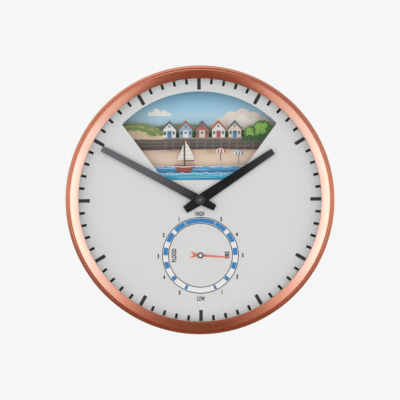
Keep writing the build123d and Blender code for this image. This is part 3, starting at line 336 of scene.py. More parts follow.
grainFinishes = {  # dark, light, scale, roughness, bump, metallic, stretch
    "dialEnamel": ((0.725, 0.727, 0.722), (0.755, 0.757, 0.752), 420, 0.42, 0.02),
    "cutEdge": ((0.84, 0.84, 0.83), (0.90, 0.90, 0.89), 600, 0.5, 0.02),
    "printGrey": ((0.006, 0.006, 0.006), (0.015, 0.015, 0.015), 700, 0.6, 0.03),
    "hourGrey": ((0.030, 0.030, 0.030), (0.044, 0.044, 0.044), 700, 0.6, 0.03),
    "printBlue": ((0.006, 0.200, 0.520), (0.012, 0.235, 0.590), 500, 0.5, 0.02),
    "capBlack": ((0.012, 0.012, 0.014), (0.022, 0.022, 0.024), 900, 0.38, 0.05),
    "spindleGrey": ((0.060, 0.060, 0.063), (0.150, 0.150, 0.155), 600, 0.4, 0.05),
    "washerGrey": ((0.034, 0.034, 0.036), (0.064, 0.064, 0.066), 600, 0.4, 0.05),
    "coralPaint": ((0.88, 0.125, 0.055), (0.95, 0.170, 0.085), 600, 0.4, 0.04),
    "capWhite": ((0.80, 0.80, 0.78), (0.90, 0.90, 0.88), 500, 0.35, 0.03),
    "gasketBlack": ((0.010, 0.010, 0.010), (0.026, 0.025, 0.024), 1500, 0.7, 0.1),
    "carrierGrey": ((0.66, 0.66, 0.65), (0.74, 0.74, 0.73), 800, 0.5, 0.05),
    "blackPlastic": ((0.014, 0.014, 0.015), (0.034, 0.034, 0.036), 2200, 0.5, 0.25),
    "panelBoard": ((0.048, 0.047, 0.046), (0.098, 0.096, 0.093), 900, 0.6, 0.4),
    "zincSteel": ((0.50, 0.51, 0.53), (0.66, 0.67, 0.70), 300, 0.36, 0.08, 1.0, (1, 1, 9)),
    "sheetAluminium": ((0.66, 0.67, 0.69), (0.78, 0.79, 0.80), 260, 0.34, 0.08, 1.0, (1, 1, 14)),
    "turnedBrass": ((0.62, 0.42, 0.15), (0.78, 0.56, 0.24), 500, 0.3, 0.05, 1.0),
    "mouldedGear": ((0.74, 0.72, 0.64), (0.84, 0.82, 0.75), 700, 0.42, 0.05),
    "boardGreen": ((0.010, 0.120, 0.050), (0.022, 0.180, 0.080), 900, 0.4, 0.1, 0.0, (1, 1, 4)),
    "cellSleeve": ((0.030, 0.034, 0.040), (0.052, 0.058, 0.066), 60, 0.3, 0.03),
    "boatCard": ((0.70, 0.66, 0.58), (0.84, 0.81, 0.74), 120, 0.6, 0.02),
    "doorBlue": ((0.05, 0.20, 0.42), (0.08, 0.27, 0.52), 500, 0.5, 0.03),
    "doorRed": ((0.52, 0.06, 0.05), (0.66, 0.10, 0.07), 500, 0.5, 0.03),
    "paneGlass": ((0.06, 0.08, 0.11), (0.16, 0.21, 0.27), 300, 0.3, 0.02),
    "timberDark": ((0.070, 0.050, 0.042), (0.125, 0.095, 0.080), 300, 0.7, 0.05, 0.0, (4, 1, 1)),
    "timberMid": ((0.17, 0.135, 0.12), (0.25, 0.205, 0.185), 300, 0.7, 0.05, 0.0, (4, 1, 1)),
    "timberPale": ((0.25, 0.20, 0.17), (0.38, 0.32, 0.27), 300, 0.7, 0.05, 0.0, (1, 1, 6)),
    "leafDark": ((0.020, 0.065, 0.018), (0.075, 0.165, 0.045), 420, 0.7, 0.1),
    "leafGreen": ((0.035, 0.120, 0.020), (0.120, 0.290, 0.055), 420, 0.7, 0.1),
    "leafLight": ((0.15, 0.36, 0.06), (0.30, 0.52, 0.12), 420, 0.7, 0.1),
    "duneSand": ((0.58, 0.43, 0.28), (0.76, 0.60, 0.42), 240, 0.7, 0.1, 0.0, (1, 1, 3)),
    "duneGrass": ((0.085, 0.150, 0.035), (0.300, 0.380, 0.120), 500, 0.7, 0.1, 0.0, (3, 1, 1)),
    "foamWhite": ((0.62, 0.78, 0.88), (0.90, 0.94, 0.96), 300, 0.5, 0.05),
    "streakPale": ((0.22, 0.55, 0.76), (0.52, 0.72, 0.90), 160, 0.5, 0.02, 0.0, (0.4, 1, 6)),
    "streakDeep": ((0.012, 0.11, 0.26), (0.030, 0.20, 0.40), 160, 0.5, 0.02, 0.0, (0.4, 1, 6)),
    "paleFloorPaint": ((0.24, 0.24, 0.24), (0.27, 0.27, 0.27), 30, 0.7, 0.02),
}
bandedFinishes = {  # low, high, drift, streak, amount, then the colours from bottom to top
    "skyPaint": (96, 162, 6, (2, 2, 5), 0.35, [
        (0.0, (0.74, 0.82, 0.84)), (0.3, (0.52, 0.75, 0.87)), (0.62, (0.36, 0.65, 0.84)),
        (1.0, (0.24, 0.54, 0.76)),
    ]),
    "hillPaint": (80, 112, 30, (1, 1, 2), 0.9, [
        (0.0, (0.10, 0.17, 0.07)), (0.5, (0.17, 0.26, 0.11)), (1.0, (0.27, 0.36, 0.22)),
    ]),
    "walkPaint": (74, 91, 40, (1, 1, 10), 0.55, [
        (0.0, (0.11, 0.075, 0.065)), (0.5, (0.105, 0.085, 0.080)), (0.9, (0.15, 0.125, 0.115)),
        (1.0, (0.24, 0.20, 0.17)),
    ]),
    "sandPaint": (50, 76, 16, (2, 2, 9), 0.55, [
        (0.0, (0.66, 0.47, 0.34)), (0.35, (0.78, 0.61, 0.47)), (0.7, (0.73, 0.53, 0.40)),
        (1.0, (0.40, 0.24, 0.17)),
    ]),
    "rearSeaPaint": (34, 51, 14, (1, 1, 9), 0.8, [
        (0.0, (0.02, 0.16, 0.34)), (0.45, (0.03, 0.25, 0.52)), (0.75, (0.10, 0.36, 0.62)),
        (1.0, (0.03, 0.22, 0.44)),
    ]),
    "frontSeaPaint": (26, 41, 14, (1, 1, 9), 0.7, [
        (0.0, (0.01, 0.20, 0.36)), (0.35, (0.02, 0.37, 0.56)), (0.7, (0.05, 0.50, 0.66)),
        (1.0, (0.01, 0.28, 0.46)),
    ]),
    "cloudCream": (98, 136, 40, (1, 1, 2), 0.7, [
        (0.0, (0.72, 0.55, 0.44)), (0.45, (0.87, 0.72, 0.60)), (1.0, (0.94, 0.85, 0.75)),
    ]),
    "cloudWhite": (98, 128, 40, (1, 1, 2), 0.7, [
        (0.0, (0.80, 0.70, 0.60)), (0.5, (0.92, 0.86, 0.78)), (1.0, (0.96, 0.92, 0.86)),
    ]),
}
boardFinishes = {  # joint, board, pitch, direction, roughness
    "boardWhite": ((0.50, 0.49, 0.46), (0.88, 0.87, 0.84), 2.4),
    "boardBlue": ((0.16, 0.25, 0.36), (0.36, 0.53, 0.68), 2.4),
    "boardBrick": ((0.20, 0.06, 0.04), (0.50, 0.17, 0.12), 2.4),
    "boardCream": ((0.42, 0.34, 0.22), (0.80, 0.69, 0.50), 2.4),
    "slateRoof": ((0.05, 0.06, 0.08), (0.13, 0.15, 0.19), 1.6, "Z"),
    "tileRoof": ((0.22, 0.06, 0.03), (0.48, 0.15, 0.08), 1.6, "Z"),
    "hullRed": ((0.12, 0.03, 0.02), (0.40, 0.09, 0.06), 2.0, "Z", 0.45),
    "sailCloth": ((0.60, 0.54, 0.44), (0.88, 0.84, 0.76), 5.5, "Z", 0.75),
}
satinCopper()
clearGlass()
mixes = ((grainFinish, grainFinishes), (bandedPaint, bandedFinishes), (boardPaint, boardFinishes))
for mix, recipes in mixes:
    for name, recipe in recipes.items():
        mix(name, *recipe)
for ink in ("printGrey", "hourGrey"):  # matt ink
    setSockets(paint[ink].node_tree.nodes["Principled BSDF"], {"Specular IOR Level": 0.15})
print("finishes mixed")

finishBySlot = {
    "copper": "satinCopper",
    "clear_glass": "clearGlass",
    "gasket_rubber": "gasketBlack",
    "carrier_plastic": "carrierGrey",
    "dial_enamel": "dialEnamel",
    "hand_black": "capBlack",
    "tide_coral": "coralPaint",
    "cap_white": "capWhite",
    "sky_card": "skyPaint",
    "hills_card": "hillPaint",
    "shore_card": "walkPaint",
    "beach_card": "sandPaint",
    "sea_front": "frontSeaPaint",
    "sea_rear": "rearSeaPaint",
    "boat_card": "boatCard",
    "black_plastic": "blackPlastic",
    "panel_board": "panelBoard",
    "plain_steel": "zincSteel",
    "bare_aluminium": "sheetAluminium",
    "brass": "turnedBrass",
    "gear_plastic": "mouldedGear",
    "board_green": "boardGreen",
    "cell_wrap": "cellSleeve",
}
for row in frame["record"]["subparts"]:
    for place in nodes[row["node"]].material_slots:
        place.material = paint[finishBySlot[row["material_slot"]]]
print("CAD nodes painted")


# case

bezelShape = {
    "cone": [(177.0, 84.6), (175.8, 84.6), (175.8, 85.65), (175.9, 85.92), (176.2, 86.26)],
    "ridge": [(186.7, 92.72), (186.95, 92.88), (187.2, 92.95), (187.45, 92.88), (187.65, 92.7)],
    "groove": [(189.0, 91.1), (189.5, 90.2), (189.85, 89.55), (190.2, 89.4), (190.5, 89.7)],
    "shoulderStart": 190.75,
    "shoulderCentre": (179.05, 79.0),
    "shoulderRadius": 15.95,
    "skirt": [(195.0, 46.9), (194.7, 46.5), (193.8, 46.5)],
    "wall": 1.2,
    "coneBack": (177.0, 85.4),
}


def shoulderArc(radius, first, last, count):  # degrees up from the shoulder's widest place
    middle, height = bezelShape["shoulderCentre"]
    turns = [radians(first + (last - first) * i / count) for i in range(count + 1)]
    return [(middle + radius * cos(turn), height + radius * sin(turn)) for turn in turns]


def bezelProfile():  # cone, ridge, groove and rounded shoulder, then back along the inside
    shape, radius = bezelShape, bezelShape["shoulderRadius"]
    top = degrees(acos((shape["shoulderStart"] - shape["shoulderCentre"][0]) / radius))
    front = shape["cone"] + shape["ridge"] + shape["groove"] + shoulderArc(radius, top, 0, count=14)
    inside = shoulderArc(radius - shape["wall"], 0, top, count=8)
    return front + shape["skirt"] + inside + [shape["coneBack"]]


caseRings = {  # node, slot, finish and profile
    "bezelRing": ("front_bezel", "copper", "satinCopper", bezelProfile()),
    "drumShell": ("case_drum", "copper", "satinCopper", [
        (178.0, 68.5), (193.2, 68.5), (193.5, 68.2), (193.5, 6.3), (193.2, 5.7), (187.8, 0.3), (187.1, 0.0),
        (176.9, 0.0), (176.5, 0.4), (176.5, 6.0), (162.0, 6.0), (162.0, 7.2), (177.7, 7.2), (177.7, 1.2),
        (187.0, 1.2), (192.3, 6.5), (192.3, 67.3), (178.0, 67.3),
    ]),
    "gasketRing": ("glass_gasket", "gasket_rubber", "gasketBlack", [
        (175.9, 84.0), (175.8, 84.15), (175.8, 84.45), (175.9, 84.6), (182.7, 84.6), (182.9, 84.4),
        (182.9, 84.0),
    ]),
    "carrierRing": ("glass_carrier", "carrier_plastic", "carrierGrey", [
        (178.2, 70.0), (178.2, 80.7), (178.5, 81.0), (183.2, 81.0), (183.2, 83.4), (183.4, 83.6),
        (184.5, 83.6), (184.7, 83.4), (184.7, 70.0),
    ]),
}
for name, (node, slotName, finish, profile) in caseRings.items():
    keep(turnOnLathe(profile, steps=256), name, "case", finish, [node])
print("case turned")


# dial with its window

dialShape = {
    "radius": 190.0,
    "front": 70.0,
    "back": 68.5,
    "arc": 158.4,
    "halfAngle": 45.6,
    "bottom": 28.5,
    "bottomHalf": 52.4,
    "bushHole": 5.5,
    "tideHole": 3.0,
    "tideCentre": (0.0, -80.7),
}
dialFront, dialBack, tideCentre = dialShape["front"], dialShape["back"], dialShape["tideCentre"]


def windowOutline(inset):  # the window's edge, moved inwards
    arc, low, lowHalf = dialShape["arc"], dialShape["bottom"], dialShape["bottomHalf"]
    corner = radians(dialShape["halfAngle"])
    slope = (arc * sin(corner) - lowHalf) / (arc * cos(corner) - low)
    steep = 1 + slope * slope
    half = lowHalf - low * slope - inset * sqrt(steep)  # half the width level with the dial's centre
    radius = arc - inset
    # where the slanted side meets the arc
    z = (sqrt(half * half * slope * slope - steep * (half * half - radius * radius)) - half * slope) / steep
    turn = degrees(atan2(half + z * slope, z))
    foot = low + inset
    footHalf = half + foot * slope
    return [(-footHalf, foot), (footHalf, foot)] + arcRun(radius, turn, -turn, count=72)


def addLoop(points, depth):  # a closed loop of edges added to the piece being edited
    bpy.ops.mesh.select_all(action="DESELECT")
    bpy.ops.mesh.primitive_circle_add(vertices=len(points), radius=mm, location=(0, 0, 0))
    loop = bpy.context.object
    loop.update_from_editmode()
    picked = [vertex.index for vertex in loop.data.vertices if vertex.select]
    bpy.ops.object.mode_set(mode="OBJECT")
    for index, spot in zip(picked, atDepth(points, depth)):
        loop.data.vertices[index].co = spot
    bpy.ops.object.mode_set(mode="EDIT")


def holeLoop(radius, centre=(0, 0), sides=32):
    addLoop(arcRun(radius, 0, 360 - 360 / sides, sides - 1, centre), dialBack)


dropSelection()
bpy.ops.mesh.primitive_circle_add(vertices=256, radius=dialShape["radius"] * mm, rotation=(pi / 2, 0, 0))
bpy.ops.object.transform_apply(rotation=True)
bpy.ops.object.mode_set(mode="EDIT")
selectAll()
bpy.ops.transform.translate(value=(0, -dialBack * mm, 0))
addLoop(windowOutline(0.0), dialBack)
holeLoop(dialShape["bushHole"])
holeLoop(dialShape["tideHole"], tideCentre)
selectAll()
bpy.ops.mesh.fill()
selectAll()
pushOut(dialFront - dialBack)
closeSkin()
keep(bpy.context.object, "dialFace", "case", "dialEnamel", ["dial_plate"])

edgeTrim = {"overlap": 0.1, "width": 0.5, "rise": 0.12}
drawPath(atDepth(windowOutline(-edgeTrim["overlap"]), dialBack))
bpy.ops.mesh.edge_face_add()
bpy.ops.mesh.inset(thickness=edgeTrim["width"] * mm, use_even_offset=True)
bpy.ops.mesh.delete(type="FACE")
selectAll()
pushOut(dialFront - dialBack + edgeTrim["rise"])
closeSkin()
keep(bpy.context.object, "windowEdge", "case", "cutEdge")

tickMarks = {
    "outer": 176.6,
    "minuteInner": 168.8,
    "minuteWidth": 3.8,
    "hourInner": 160.4,
    "hourWidth": 5.25,
    "rise": 0.1,
    "corner": 0.2,
}
printSunk = 0.02  # print starts this far inside the dial


def tickBar(inner, width):
    outline = box(-width / 2, inner, width / 2, tickMarks["outer"])
    bar = cutSheet(outline, dialFront - printSunk, dialFront + tickMarks["rise"])
    pickEdges(bar, lambda a, b: abs(a.y - b.y) > samePlace)
    bpy.ops.mesh.bevel(offset=tickMarks["corner"] * mm, segments=2)
    selectAll()
    return bar


def goRound(copies, angle):  # copies of all that is being edited, round the dial's centre
    selectAll()
    bpy.ops.mesh.spin(steps=copies, dupli=True, angle=radians(angle), center=(0, 0, 0), axis=(0, 1, 0))


hourTicks = tickBar(tickMarks["hourInner"], tickMarks["hourWidth"])
goRound(11, 330)  # the other hours
bpy.ops.object.mode_set(mode="OBJECT")
keep(hourTicks, "hourTicks", "case", "hourGrey")

minuteTicks = tickBar(tickMarks["minuteInner"], tickMarks["minuteWidth"])
bpy.ops.transform.rotate(value=radians(6), orient_axis="Y", center_override=(0, 0, 0))
goRound(3, 18)  # the four minutes after an hour
goRound(11, 330)
bpy.ops.object.mode_set(mode="OBJECT")
keep(minuteTicks, "minuteTicks", "case", "printGrey")
print("dial printed")


# tide dial

tideDial = {
    "outerLine": 55.2,
    "innerLine": 46.5,
    "line": 1.15,
    "paper": 0.03,
    "print": 0.06,
    "segments": [
        (-23.5, 23.5), (25.8, 45), (52, 68), (78, 90), (102, 113), (128.5, 135), (154, 158),
        (202, 206.5), (226, 233), (248.5, 259.5), (270.5, 283), (293, 309), (315, 334.2),
    ],
    "segmentInset": 0.55,
    "divider": 0.9,
    "dividerAt": 24.65,
    "numberRadius": 61.5,
    "numberSize": 7.9,
    "squeeze": 0.70,
    "bold": 0.36,
    "numberBold": 0.43,
    "spacing": 1.12,
    "thick": 0.02,
    "drop": 1.0,
    "words": [  # size, squeeze, place from the tide dial's centre, turn
        ("HIGH", 8.6, 0.60, -0.3, 61.2, 0),
        ("LOW", 8.5, 0.53, 0.0, -62.5, 0),
        ("FLOOD", 8.6, 0.64, -39.2, 0.2, -90),
        ("EBB", 8.4, 0.69, 39.4, 0.2, 90),
    ],
}
innerLine, outerLine, halfLine = tideDial["innerLine"], tideDial["outerLine"], tideDial["line"] / 2
printTop = dialFront + tideDial["print"]


def printedRing(inner, outer, top):
    sunk = dialFront - printSunk
    return turnOnLathe([(inner, sunk), (inner, top), (outer, top), (outer, sunk)], tideCentre, steps=180)


band = printedRing(innerLine, outerLine, dialFront + tideDial["paper"])
keep(band, "tideBand", "case", "cutEdge")
lines = [printedRing(radius - halfLine, radius + halfLine, printTop) for radius in (innerLine, outerLine)]
divider = box(-tideDial["divider"] / 2, innerLine, tideDial["divider"] / 2, outerLine)
for clockwise in (tideDial["dividerAt"], -tideDial["dividerAt"]):
    lines.append(cutSheet(swung(divider, clockwise, tideCentre), dialFront, printTop))
keep(joinPieces(lines), "tideLines", "case", "printGrey")

blocks = []
blockInner = innerLine + halfLine + tideDial["segmentInset"]
blockOuter = outerLine - halfLine - tideDial["segmentInset"]
for first, last in tideDial["segments"]:
    count = max(3, int(abs(last - first) / 2))  # a step for about two degrees
    outer = arcRun(blockOuter, first, last, count, tideCentre)
    inner = arcRun(blockInner, last, first, count, tideCentre)
    blocks.append(cutSheet(outer + inner, dialFront, printTop))
keep(joinPieces(blocks), "tideSegments", "case", "printBlue")


def printText(words, size, squeeze, x, z, clockwise, bold):
    dropSelection()
    bpy.ops.object.text_add(location=(0, 0, 0))
    label = bpy.context.object
    label.data.body = words
    label.data.size = size * mm
    label.data.align_x = "CENTER"
    label.data.align_y = "CENTER"
    label.data.extrude = tideDial["thick"] * mm
    label.data.bevel_depth = bold * mm
    label.data.bevel_resolution = 0
    label.data.space_character = tideDial["spacing"]
    bpy.ops.object.convert(target="MESH")
    label = bpy.context.object
    label.scale = (squeeze, 1, 1)
    label.rotation_euler = (pi / 2, radians(clockwise), 0)
    middle = swung([(0, -tideDial["drop"])], clockwise, (x, z))
    label.location = atDepth(middle, dialFront + tideDial["paper"])[0]
    bpy.ops.object.transform_apply(location=True, rotation=True, scale=True)
    return label


figures = []
for hour in range(12):
    if hour % 6:
        x, z = onCircle(tideDial["numberRadius"], hour * 30, tideCentre)
        figure = str(6 - hour % 6)
        figures.append(
            printText(figure, tideDial["numberSize"], tideDial["squeeze"], x, z, 0, tideDial["numberBold"])
        )
keep(joinPieces(figures), "tideNumbers", "case", "printGrey")
words = [
    printText(word, size, squeeze, tideCentre[0] + x, tideCentre[1] + z, clockwise, tideDial["bold"])
    for word, size, squeeze, x, z, clockwise in tideDial["words"]
]
keep(joinPieces(words), "tideWords", "case", "printGrey")
print("tide dial printed")


# hands

# each hand's colour stops along its length are a painted sheen: the black turns grey towards the tip
hands = {
    "hour": {
        "clockwise": 56.8, "length": 127.7, "tail": 26.0, "hub": 15.2, "tip": 9.0, "end": 11.0, "under": 74.6,
        "paintedSheen": [(-28, (0.004, 0.004, 0.008)), (70, (0.002, 0.003, 0.005)), (130, (0.040, 0.044, 0.043))],
    },
    "minute": {
        "clockwise": -61.8, "length": 160.5, "tail": 24.6, "hub": 12.6, "tip": 8.8, "end": 9.2, "under": 77.0,
        "paintedSheen": [
            (-26, (0.002, 0.002, 0.003)), (8, (0.005, 0.005, 0.006)), (18, (0.030, 0.030, 0.031)),
            (34, (0.060, 0.060, 0.062)), (80, (0.110, 0.112, 0.120)), (162, (0.148, 0.149, 0.163)),
        ],
    },
    "thick": 1.0,
    "rim": 0.22,
    "collar": [(2.95, 71.55), (4.4, 71.55), (4.4, 74.6), (2.95, 74.6)],
}


def barHand(kind):
    hand = hands[kind]
    end, hub, tip = hand["end"] / 2, hand["hub"] / 2, hand["tip"] / 2
    tail, length, under = hand["tail"], hand["length"], hand["under"]
    outline = [(-end, -tail), (end, -tail), (hub, 0), (tip, length), (-tip, length), (-hub, 0)]
    handPaint(kind + "Black", hand["clockwise"], hand["paintedSheen"])
    return cutSheet(swung(outline, hand["clockwise"]), under, under + hands["thick"], hands["rim"])


hourPieces = [barHand("hour"), turnOnLathe(hands["collar"])]
keep(joinPieces(hourPieces), "hourHand", "hour", "hourBlack", ["hour_hand"])
keep(barHand("minute"), "minuteHand", "minute", "minuteBlack", ["minute_hand"])

hubParts = {
    "cap": [
        (0, 78.0), (5.4, 78.0), (5.4, 78.9), (5.25, 79.25), (4.9, 79.5), (4.4, 79.6), (2.1, 79.6),
        (1.95, 79.5), (0, 79.5),
    ],
    "pin": [(0, 79.4), (2.625, 79.4), (2.625, 79.75), (2.25, 79.95), (1.35, 80.1), (0, 80.15)],
    "washer": [(5.2, 77.95), (6.5, 77.95), (6.5, 78.2), (6.3, 78.35), (5.2, 78.35)],
}
hubCap = turnOnLathe(hubParts["cap"], steps=64, closed=False)
keep(hubCap, "minuteHub", "minute", "capBlack", ["minute_cap"])
keep(turnOnLathe(hubParts["pin"], closed=False), "minutePin", "minute", "spindleGrey")
keep(turnOnLathe(hubParts["washer"], steps=64), "minuteWasher", "minute", "washerGrey")

tideHand = {
    "clockwise": 94.4,
    "length": 42.2,
    "tail": 15.0,
    "width": 3.1,
    "waist": 1.5,
    "neck": 5.5,
    "tip": 1.2,
    "fork": 10.2,
    "notch": 5.4,
    "flat": (71.4, 72.0),
    "rim": 0.12,
    "eye": [(1.55, 71.4), (3.4, 71.4), (3.4, 72.0), (1.55, 72.0)],
    "boss": [(1.55, 72.0), (4.3, 72.0), (4.3, 72.6), (4.1, 72.9), (3.7, 73.0), (1.55, 73.0)],
    "cap": [(0, 73.0), (2.4, 73.0), (2.4, 73.2), (2.2, 73.4), (1.5, 73.5), (0, 73.5)],
}
width, fork, tip = tideHand["width"] / 2, tideHand["fork"] / 2, tideHand["tip"] / 2
waist, neck, tail, length = tideHand["waist"], tideHand["neck"], tideHand["tail"], tideHand["length"]
pointer = [
    (-width, -waist), (-width, -neck), (-fork, -tail), (0, -tail + tideHand["notch"]), (fork, -tail),
    (width, -neck), (width, -waist), (width, waist), (tip, length), (-tip, length), (-width, waist),
]
pointerBar = cutSheet(swung(pointer, tideHand["clockwise"], tideCentre), *tideHand["flat"], tideHand["rim"])
pointerEye = turnOnLathe(tideHand["eye"], tideCentre)
keep(joinPieces([pointerBar, pointerEye]), "tideHand", "tide", "coralPaint", ["tide_hand"])
boss = turnOnLathe(tideHand["boss"], tideCentre, steps=64)
keep(boss, "tideBoss", "tide", "capBlack", ["tide_boss"])
button = turnOnLathe(tideHand["cap"], tideCentre, closed=False)
keep(button, "tideCap", "tide", "capWhite", ["tide_cap"])
print("hands cut")


# picture behind the window: painted card on the layers

sideSlope = 0.7381  # the window's side, across for each mm up
railGap = 5.0  # card reaches this far past that side
cardSunk = 0.1  # painted card starts this far inside its layer


def heldIn(outline):  # trims a shape to the space between the rails
    reach = dialShape["bottomHalf"] - dialShape["bottom"] * sideSlope + railGap
    for side in (1, -1):
        trimmed = []
        for (x0, z0), (x1, z1) in zip(outline, outline[1:] + outline[:1]):
            spare0 = reach + z0 * sideSlope - side * x0
            spare1 = reach + z1 * sideSlope - side * x1
            if spare0 >= 0:
                trimmed.append((x0, z0))
            if spare0 * spare1 < 0:
                share = spare0 / (spare0 - spare1)
                trimmed.append((x0 + (x1 - x0) * share, z0 + (z1 - z0) * share))
        outline = trimmed
    return outline


def puffs(lumps, base, step=1.2, tuck=0.5):  # the upper edge of a row of round lumps, over a flat base
    left = min(middle - radius for middle, z, radius in lumps)
    right = max(middle + radius for middle, z, radius in lumps)
    count = int((right - left) / step)
    line = []
    for i in range(count + 1):
        x = left + (right - left) * i / count
        tops = [
            z + sqrt(radius * radius - (x - middle) ** 2)
            for middle, z, radius in lumps if abs(x - middle) < radius
        ]
        line.append((x, max(tops + [base])))
    return line + [(right, base - tuck), (left, base - tuck)]


crownEdge = {"perBump": 6, "scallop": 0.07}


def crown(x, z, radius, bumps):  # a leafy ball with a scalloped edge
    line = []
    count = bumps * crownEdge["perBump"]
    for i in range(count):
        turn = tau * i / count
        reach = radius * (1 + crownEdge["scallop"] * abs(sin(bumps * turn / 2)))
        line.append((x + reach * sin(turn), z + reach * cos(turn)))
    return line


def layerCard(layer, outline, rise):
    return cutSheet(outline, layer["face"] - cardSunk, layer["face"] + rise)


def keepCards(name, layer, finish, cards):
    keep(joinPieces(cards), name, layer["body"], finish)


def paintCards(name, layer, finish, outlines, rise):
    keepCards(name, layer, finish, [layerCard(layer, outline, rise) for outline in outlines])


def keepByFinish(prefix, layer, cardsByFinish):
    for finish, cards in cardsByFinish.items():
        keepCards(prefix + finish[0].upper() + finish[1:], layer, finish, cards)


sky = {
    "body": "case", "slot": "sky_card", "face": 35.0,
    "bank": [
        (22, 106, 8), (34, 112, 10), (48, 118, 12), (64, 121, 13), (80, 117, 12), (95, 110, 11),
        (108, 104, 9),
    ],
    "sunlit": [(36, 108, 6), (50, 113, 8), (65, 116, 9), (80, 112, 8), (93, 106, 7)],
    "wisp": [(-72, 126, 4), (-63, 129, 6), (-52, 127.5, 5), (-44, 125.5, 3)],
    "bankBase": 96,
    "sunlitBase": 99,
    "wispBase": 124.5,
}
paintCards("cloudBank", sky, "cloudCream", [puffs(sky["bank"], sky["bankBase"])], rise=0.5)
brightPuffs = [puffs(sky[cloud], sky[cloud + "Base"]) for cloud in ("sunlit", "wisp")]
paintCards("cloudLight", sky, "cloudWhite", brightPuffs, rise=1.0)

hills = {
    "body": "case", "slot": "hills_card", "face": 43.0,
    "bushes": [
        (-57, 92, 7), (-33, 94, 5), (-20, 93, 5), (-8, 95, 5), (4, 93, 5), (16, 94, 5), (40, 95, 5),
        (52, 93, 5), (65, 94, 7),
    ],
    "base": 84,
}
paintCards("hillBushes", hills, "leafDark", [puffs(hills["bushes"], hills["base"])], rise=0.6)

shore = {
    "body": "case", "slot": "shore_card", "face": 49.0,
    "dune": (-96.0, 91.0),
    "duneHalf": 46.3,
    "duneRise": 22.3,
    "duneFoot": (88.6, 89.4, 88.8),
    "trees": [(77, 96.5, 11.0, 11), (107, 96.5, 11.0, 11), (92, 102, 13.2, 13)],
    "crownGrow": 0.2,
    "crownRim": 0.2,
    "crownRise": (0.6, 0.4),  # the first, and more for each next one: no two layers share a plane
    "glints": [(-0.35, 0.35, 0.42), (0.30, 0.48, 0.30), (0.1, -0.1, 0.34), (-0.5, -0.22, 0.25)],
    "glintRise": (0.15, 0.04),
    "trunkHalf": 1.1,
    "trunkFoot": 84,
    "hedge": [(67, 89, 4.5), (74, 90, 5), (82, 89, 5), (91, 90, 5.5), (100, 89, 5)],
    "hedgeBase": 86,
    "walkTop": 91.0,
    "deck": (-52, -1.9, 104, 0.3),
    "posts": (-51.0, 94.0),
    "postPitch": 11.7,
    "postWidth": 1.5,
    "postLow": 70.0,
    "postDrop": 1.0,
    "rails": (79.0, 84.2),
    "railReach": 92,
    "railHigh": 1.1,
}
face = shore["face"]


def onDune(share, reach=1.0):  # a point on the dune's arc, from its right end
    x, z = shore["dune"]
    half, rise, turn = shore["duneHalf"] * reach, shore["duneRise"] * reach, pi * share
    return (x + half * cos(turn), z + rise * sin(turn))


grass = {
    "rows": [(0.80, 1.05, 0.9), (0.52, 0.80, 1.2)],  # lowest and highest reach, rise
    "blades": 46,
    "bladeHigh": 0.09,
    "bare": 0.06,  # share of the dune's arc without grass, at each end
    "sway": (0.03, 2.3),
    "ripple": (0.04, 1.7),
    "ripples": 20,
}


def grassRow(lowest, highest):  # pointed blades above, a soft edge below
    bare, count, last = grass["bare"], grass["blades"] * 2, grass["ripples"]
    sway, swayPace = grass["sway"]
    ripple, ripplePace = grass["ripple"]
    line = []
    for i in range(count + 1):
        reach = highest + sway * sin(i * swayPace) - (0 if i % 2 else grass["bladeHigh"])
        line.append(onDune(bare + (1 - 2 * bare) * i / count, reach))
    for i in range(last + 1):
        reach = lowest + ripple * sin(i * ripplePace)
        line.append(onDune(1 - bare - (1 - 2 * bare) * i / last, reach))
    return heldIn(line)


ends = (-shore["duneHalf"], 0, shore["duneHalf"])
duneFoot = [(shore["dune"][0] + x, z) for x, z in zip(ends, shore["duneFoot"])]
paintCards("sandDune", shore, "duneSand", [heldIn([onDune(i / 40) for i in range(41)] + duneFoot)], rise=0.4)
tufts = [layerCard(shore, grassRow(lowest, highest), rise) for lowest, highest, rise in grass["rows"]]
keepCards("duneGrass", shore, "duneGrass", tufts)

trunkHalf, trunkFoot = shore["trunkHalf"], shore["trunkFoot"]
trunks = [box(x - trunkHalf, trunkFoot, x + trunkHalf, z) for x, z, radius, bumps in shore["trees"]]
paintCards("treeTrunks", shore, "timberDark", trunks, rise=0.5)
leafBalls = []
sunBalls = []
firstRise, nextRise = shore["crownRise"]
glintRise, nextGlint = shore["glintRise"]
for number, (x, z, radius, bumps) in enumerate(shore["trees"]):
    lift = firstRise + nextRise * number
    ball = crown(x, z, radius + shore["crownGrow"], bumps)
    rim = shore["crownRim"] if heldIn(ball) == ball else 0.0
    leafBalls.append(cutSheet(heldIn(ball), face - cardSunk, face + lift, rim))
    for step, (across, up, size) in enumerate(shore["glints"]):
        spot = heldIn(crown(x + across * radius, z + up * radius, size * radius, bumps=7))
        if len(spot) > 2:
            sunBalls.append(cutSheet(spot, face, face + lift + glintRise + nextGlint * step))
keepCards("treeCrowns", shore, "leafGreen", leafBalls)
keepCards("treeLights", shore, "leafLight", sunBalls)
paintCards("lowHedge", shore, "leafDark", [heldIn(puffs(shore["hedge"], shore["hedgeBase"]))], rise=1.9)

hutShape = {
    "half": 9.4,
    "wall": 106.0,
    "peak": 115.6,
    "eaveHalf": 11.2,
    "eave": 104.4,
    "eaveCut": (1.6, 1.5),
    "roofThick": 3.0,
    "roofOver": 1.2,
    "doorHalf": 3.1,
    "door": 101.2,
    "doorFrame": 0.8,
    "pane": (1.7, -4.2, -1.2),
    "vent": 1.5,
    "ventAt": 107.6,
    "shutter": (6.3, 1.5, 96, 100.5),
    "rises": (0.5, 1.3, 0.8, 1.0, 1.15),
}
hutRow = [  # middle, wall, roof and door finishes
    (-44, "boardWhite", "slateRoof", "doorBlue"),
    (-20, "boardBlue", "tileRoof", "boardWhite"),
    (4, "boardBrick", "slateRoof", "boardCream"),
    (28, "boardWhite", "tileRoof", "doorRed"),
    (52, "boardCream", "slateRoof", "doorBlue"),
]


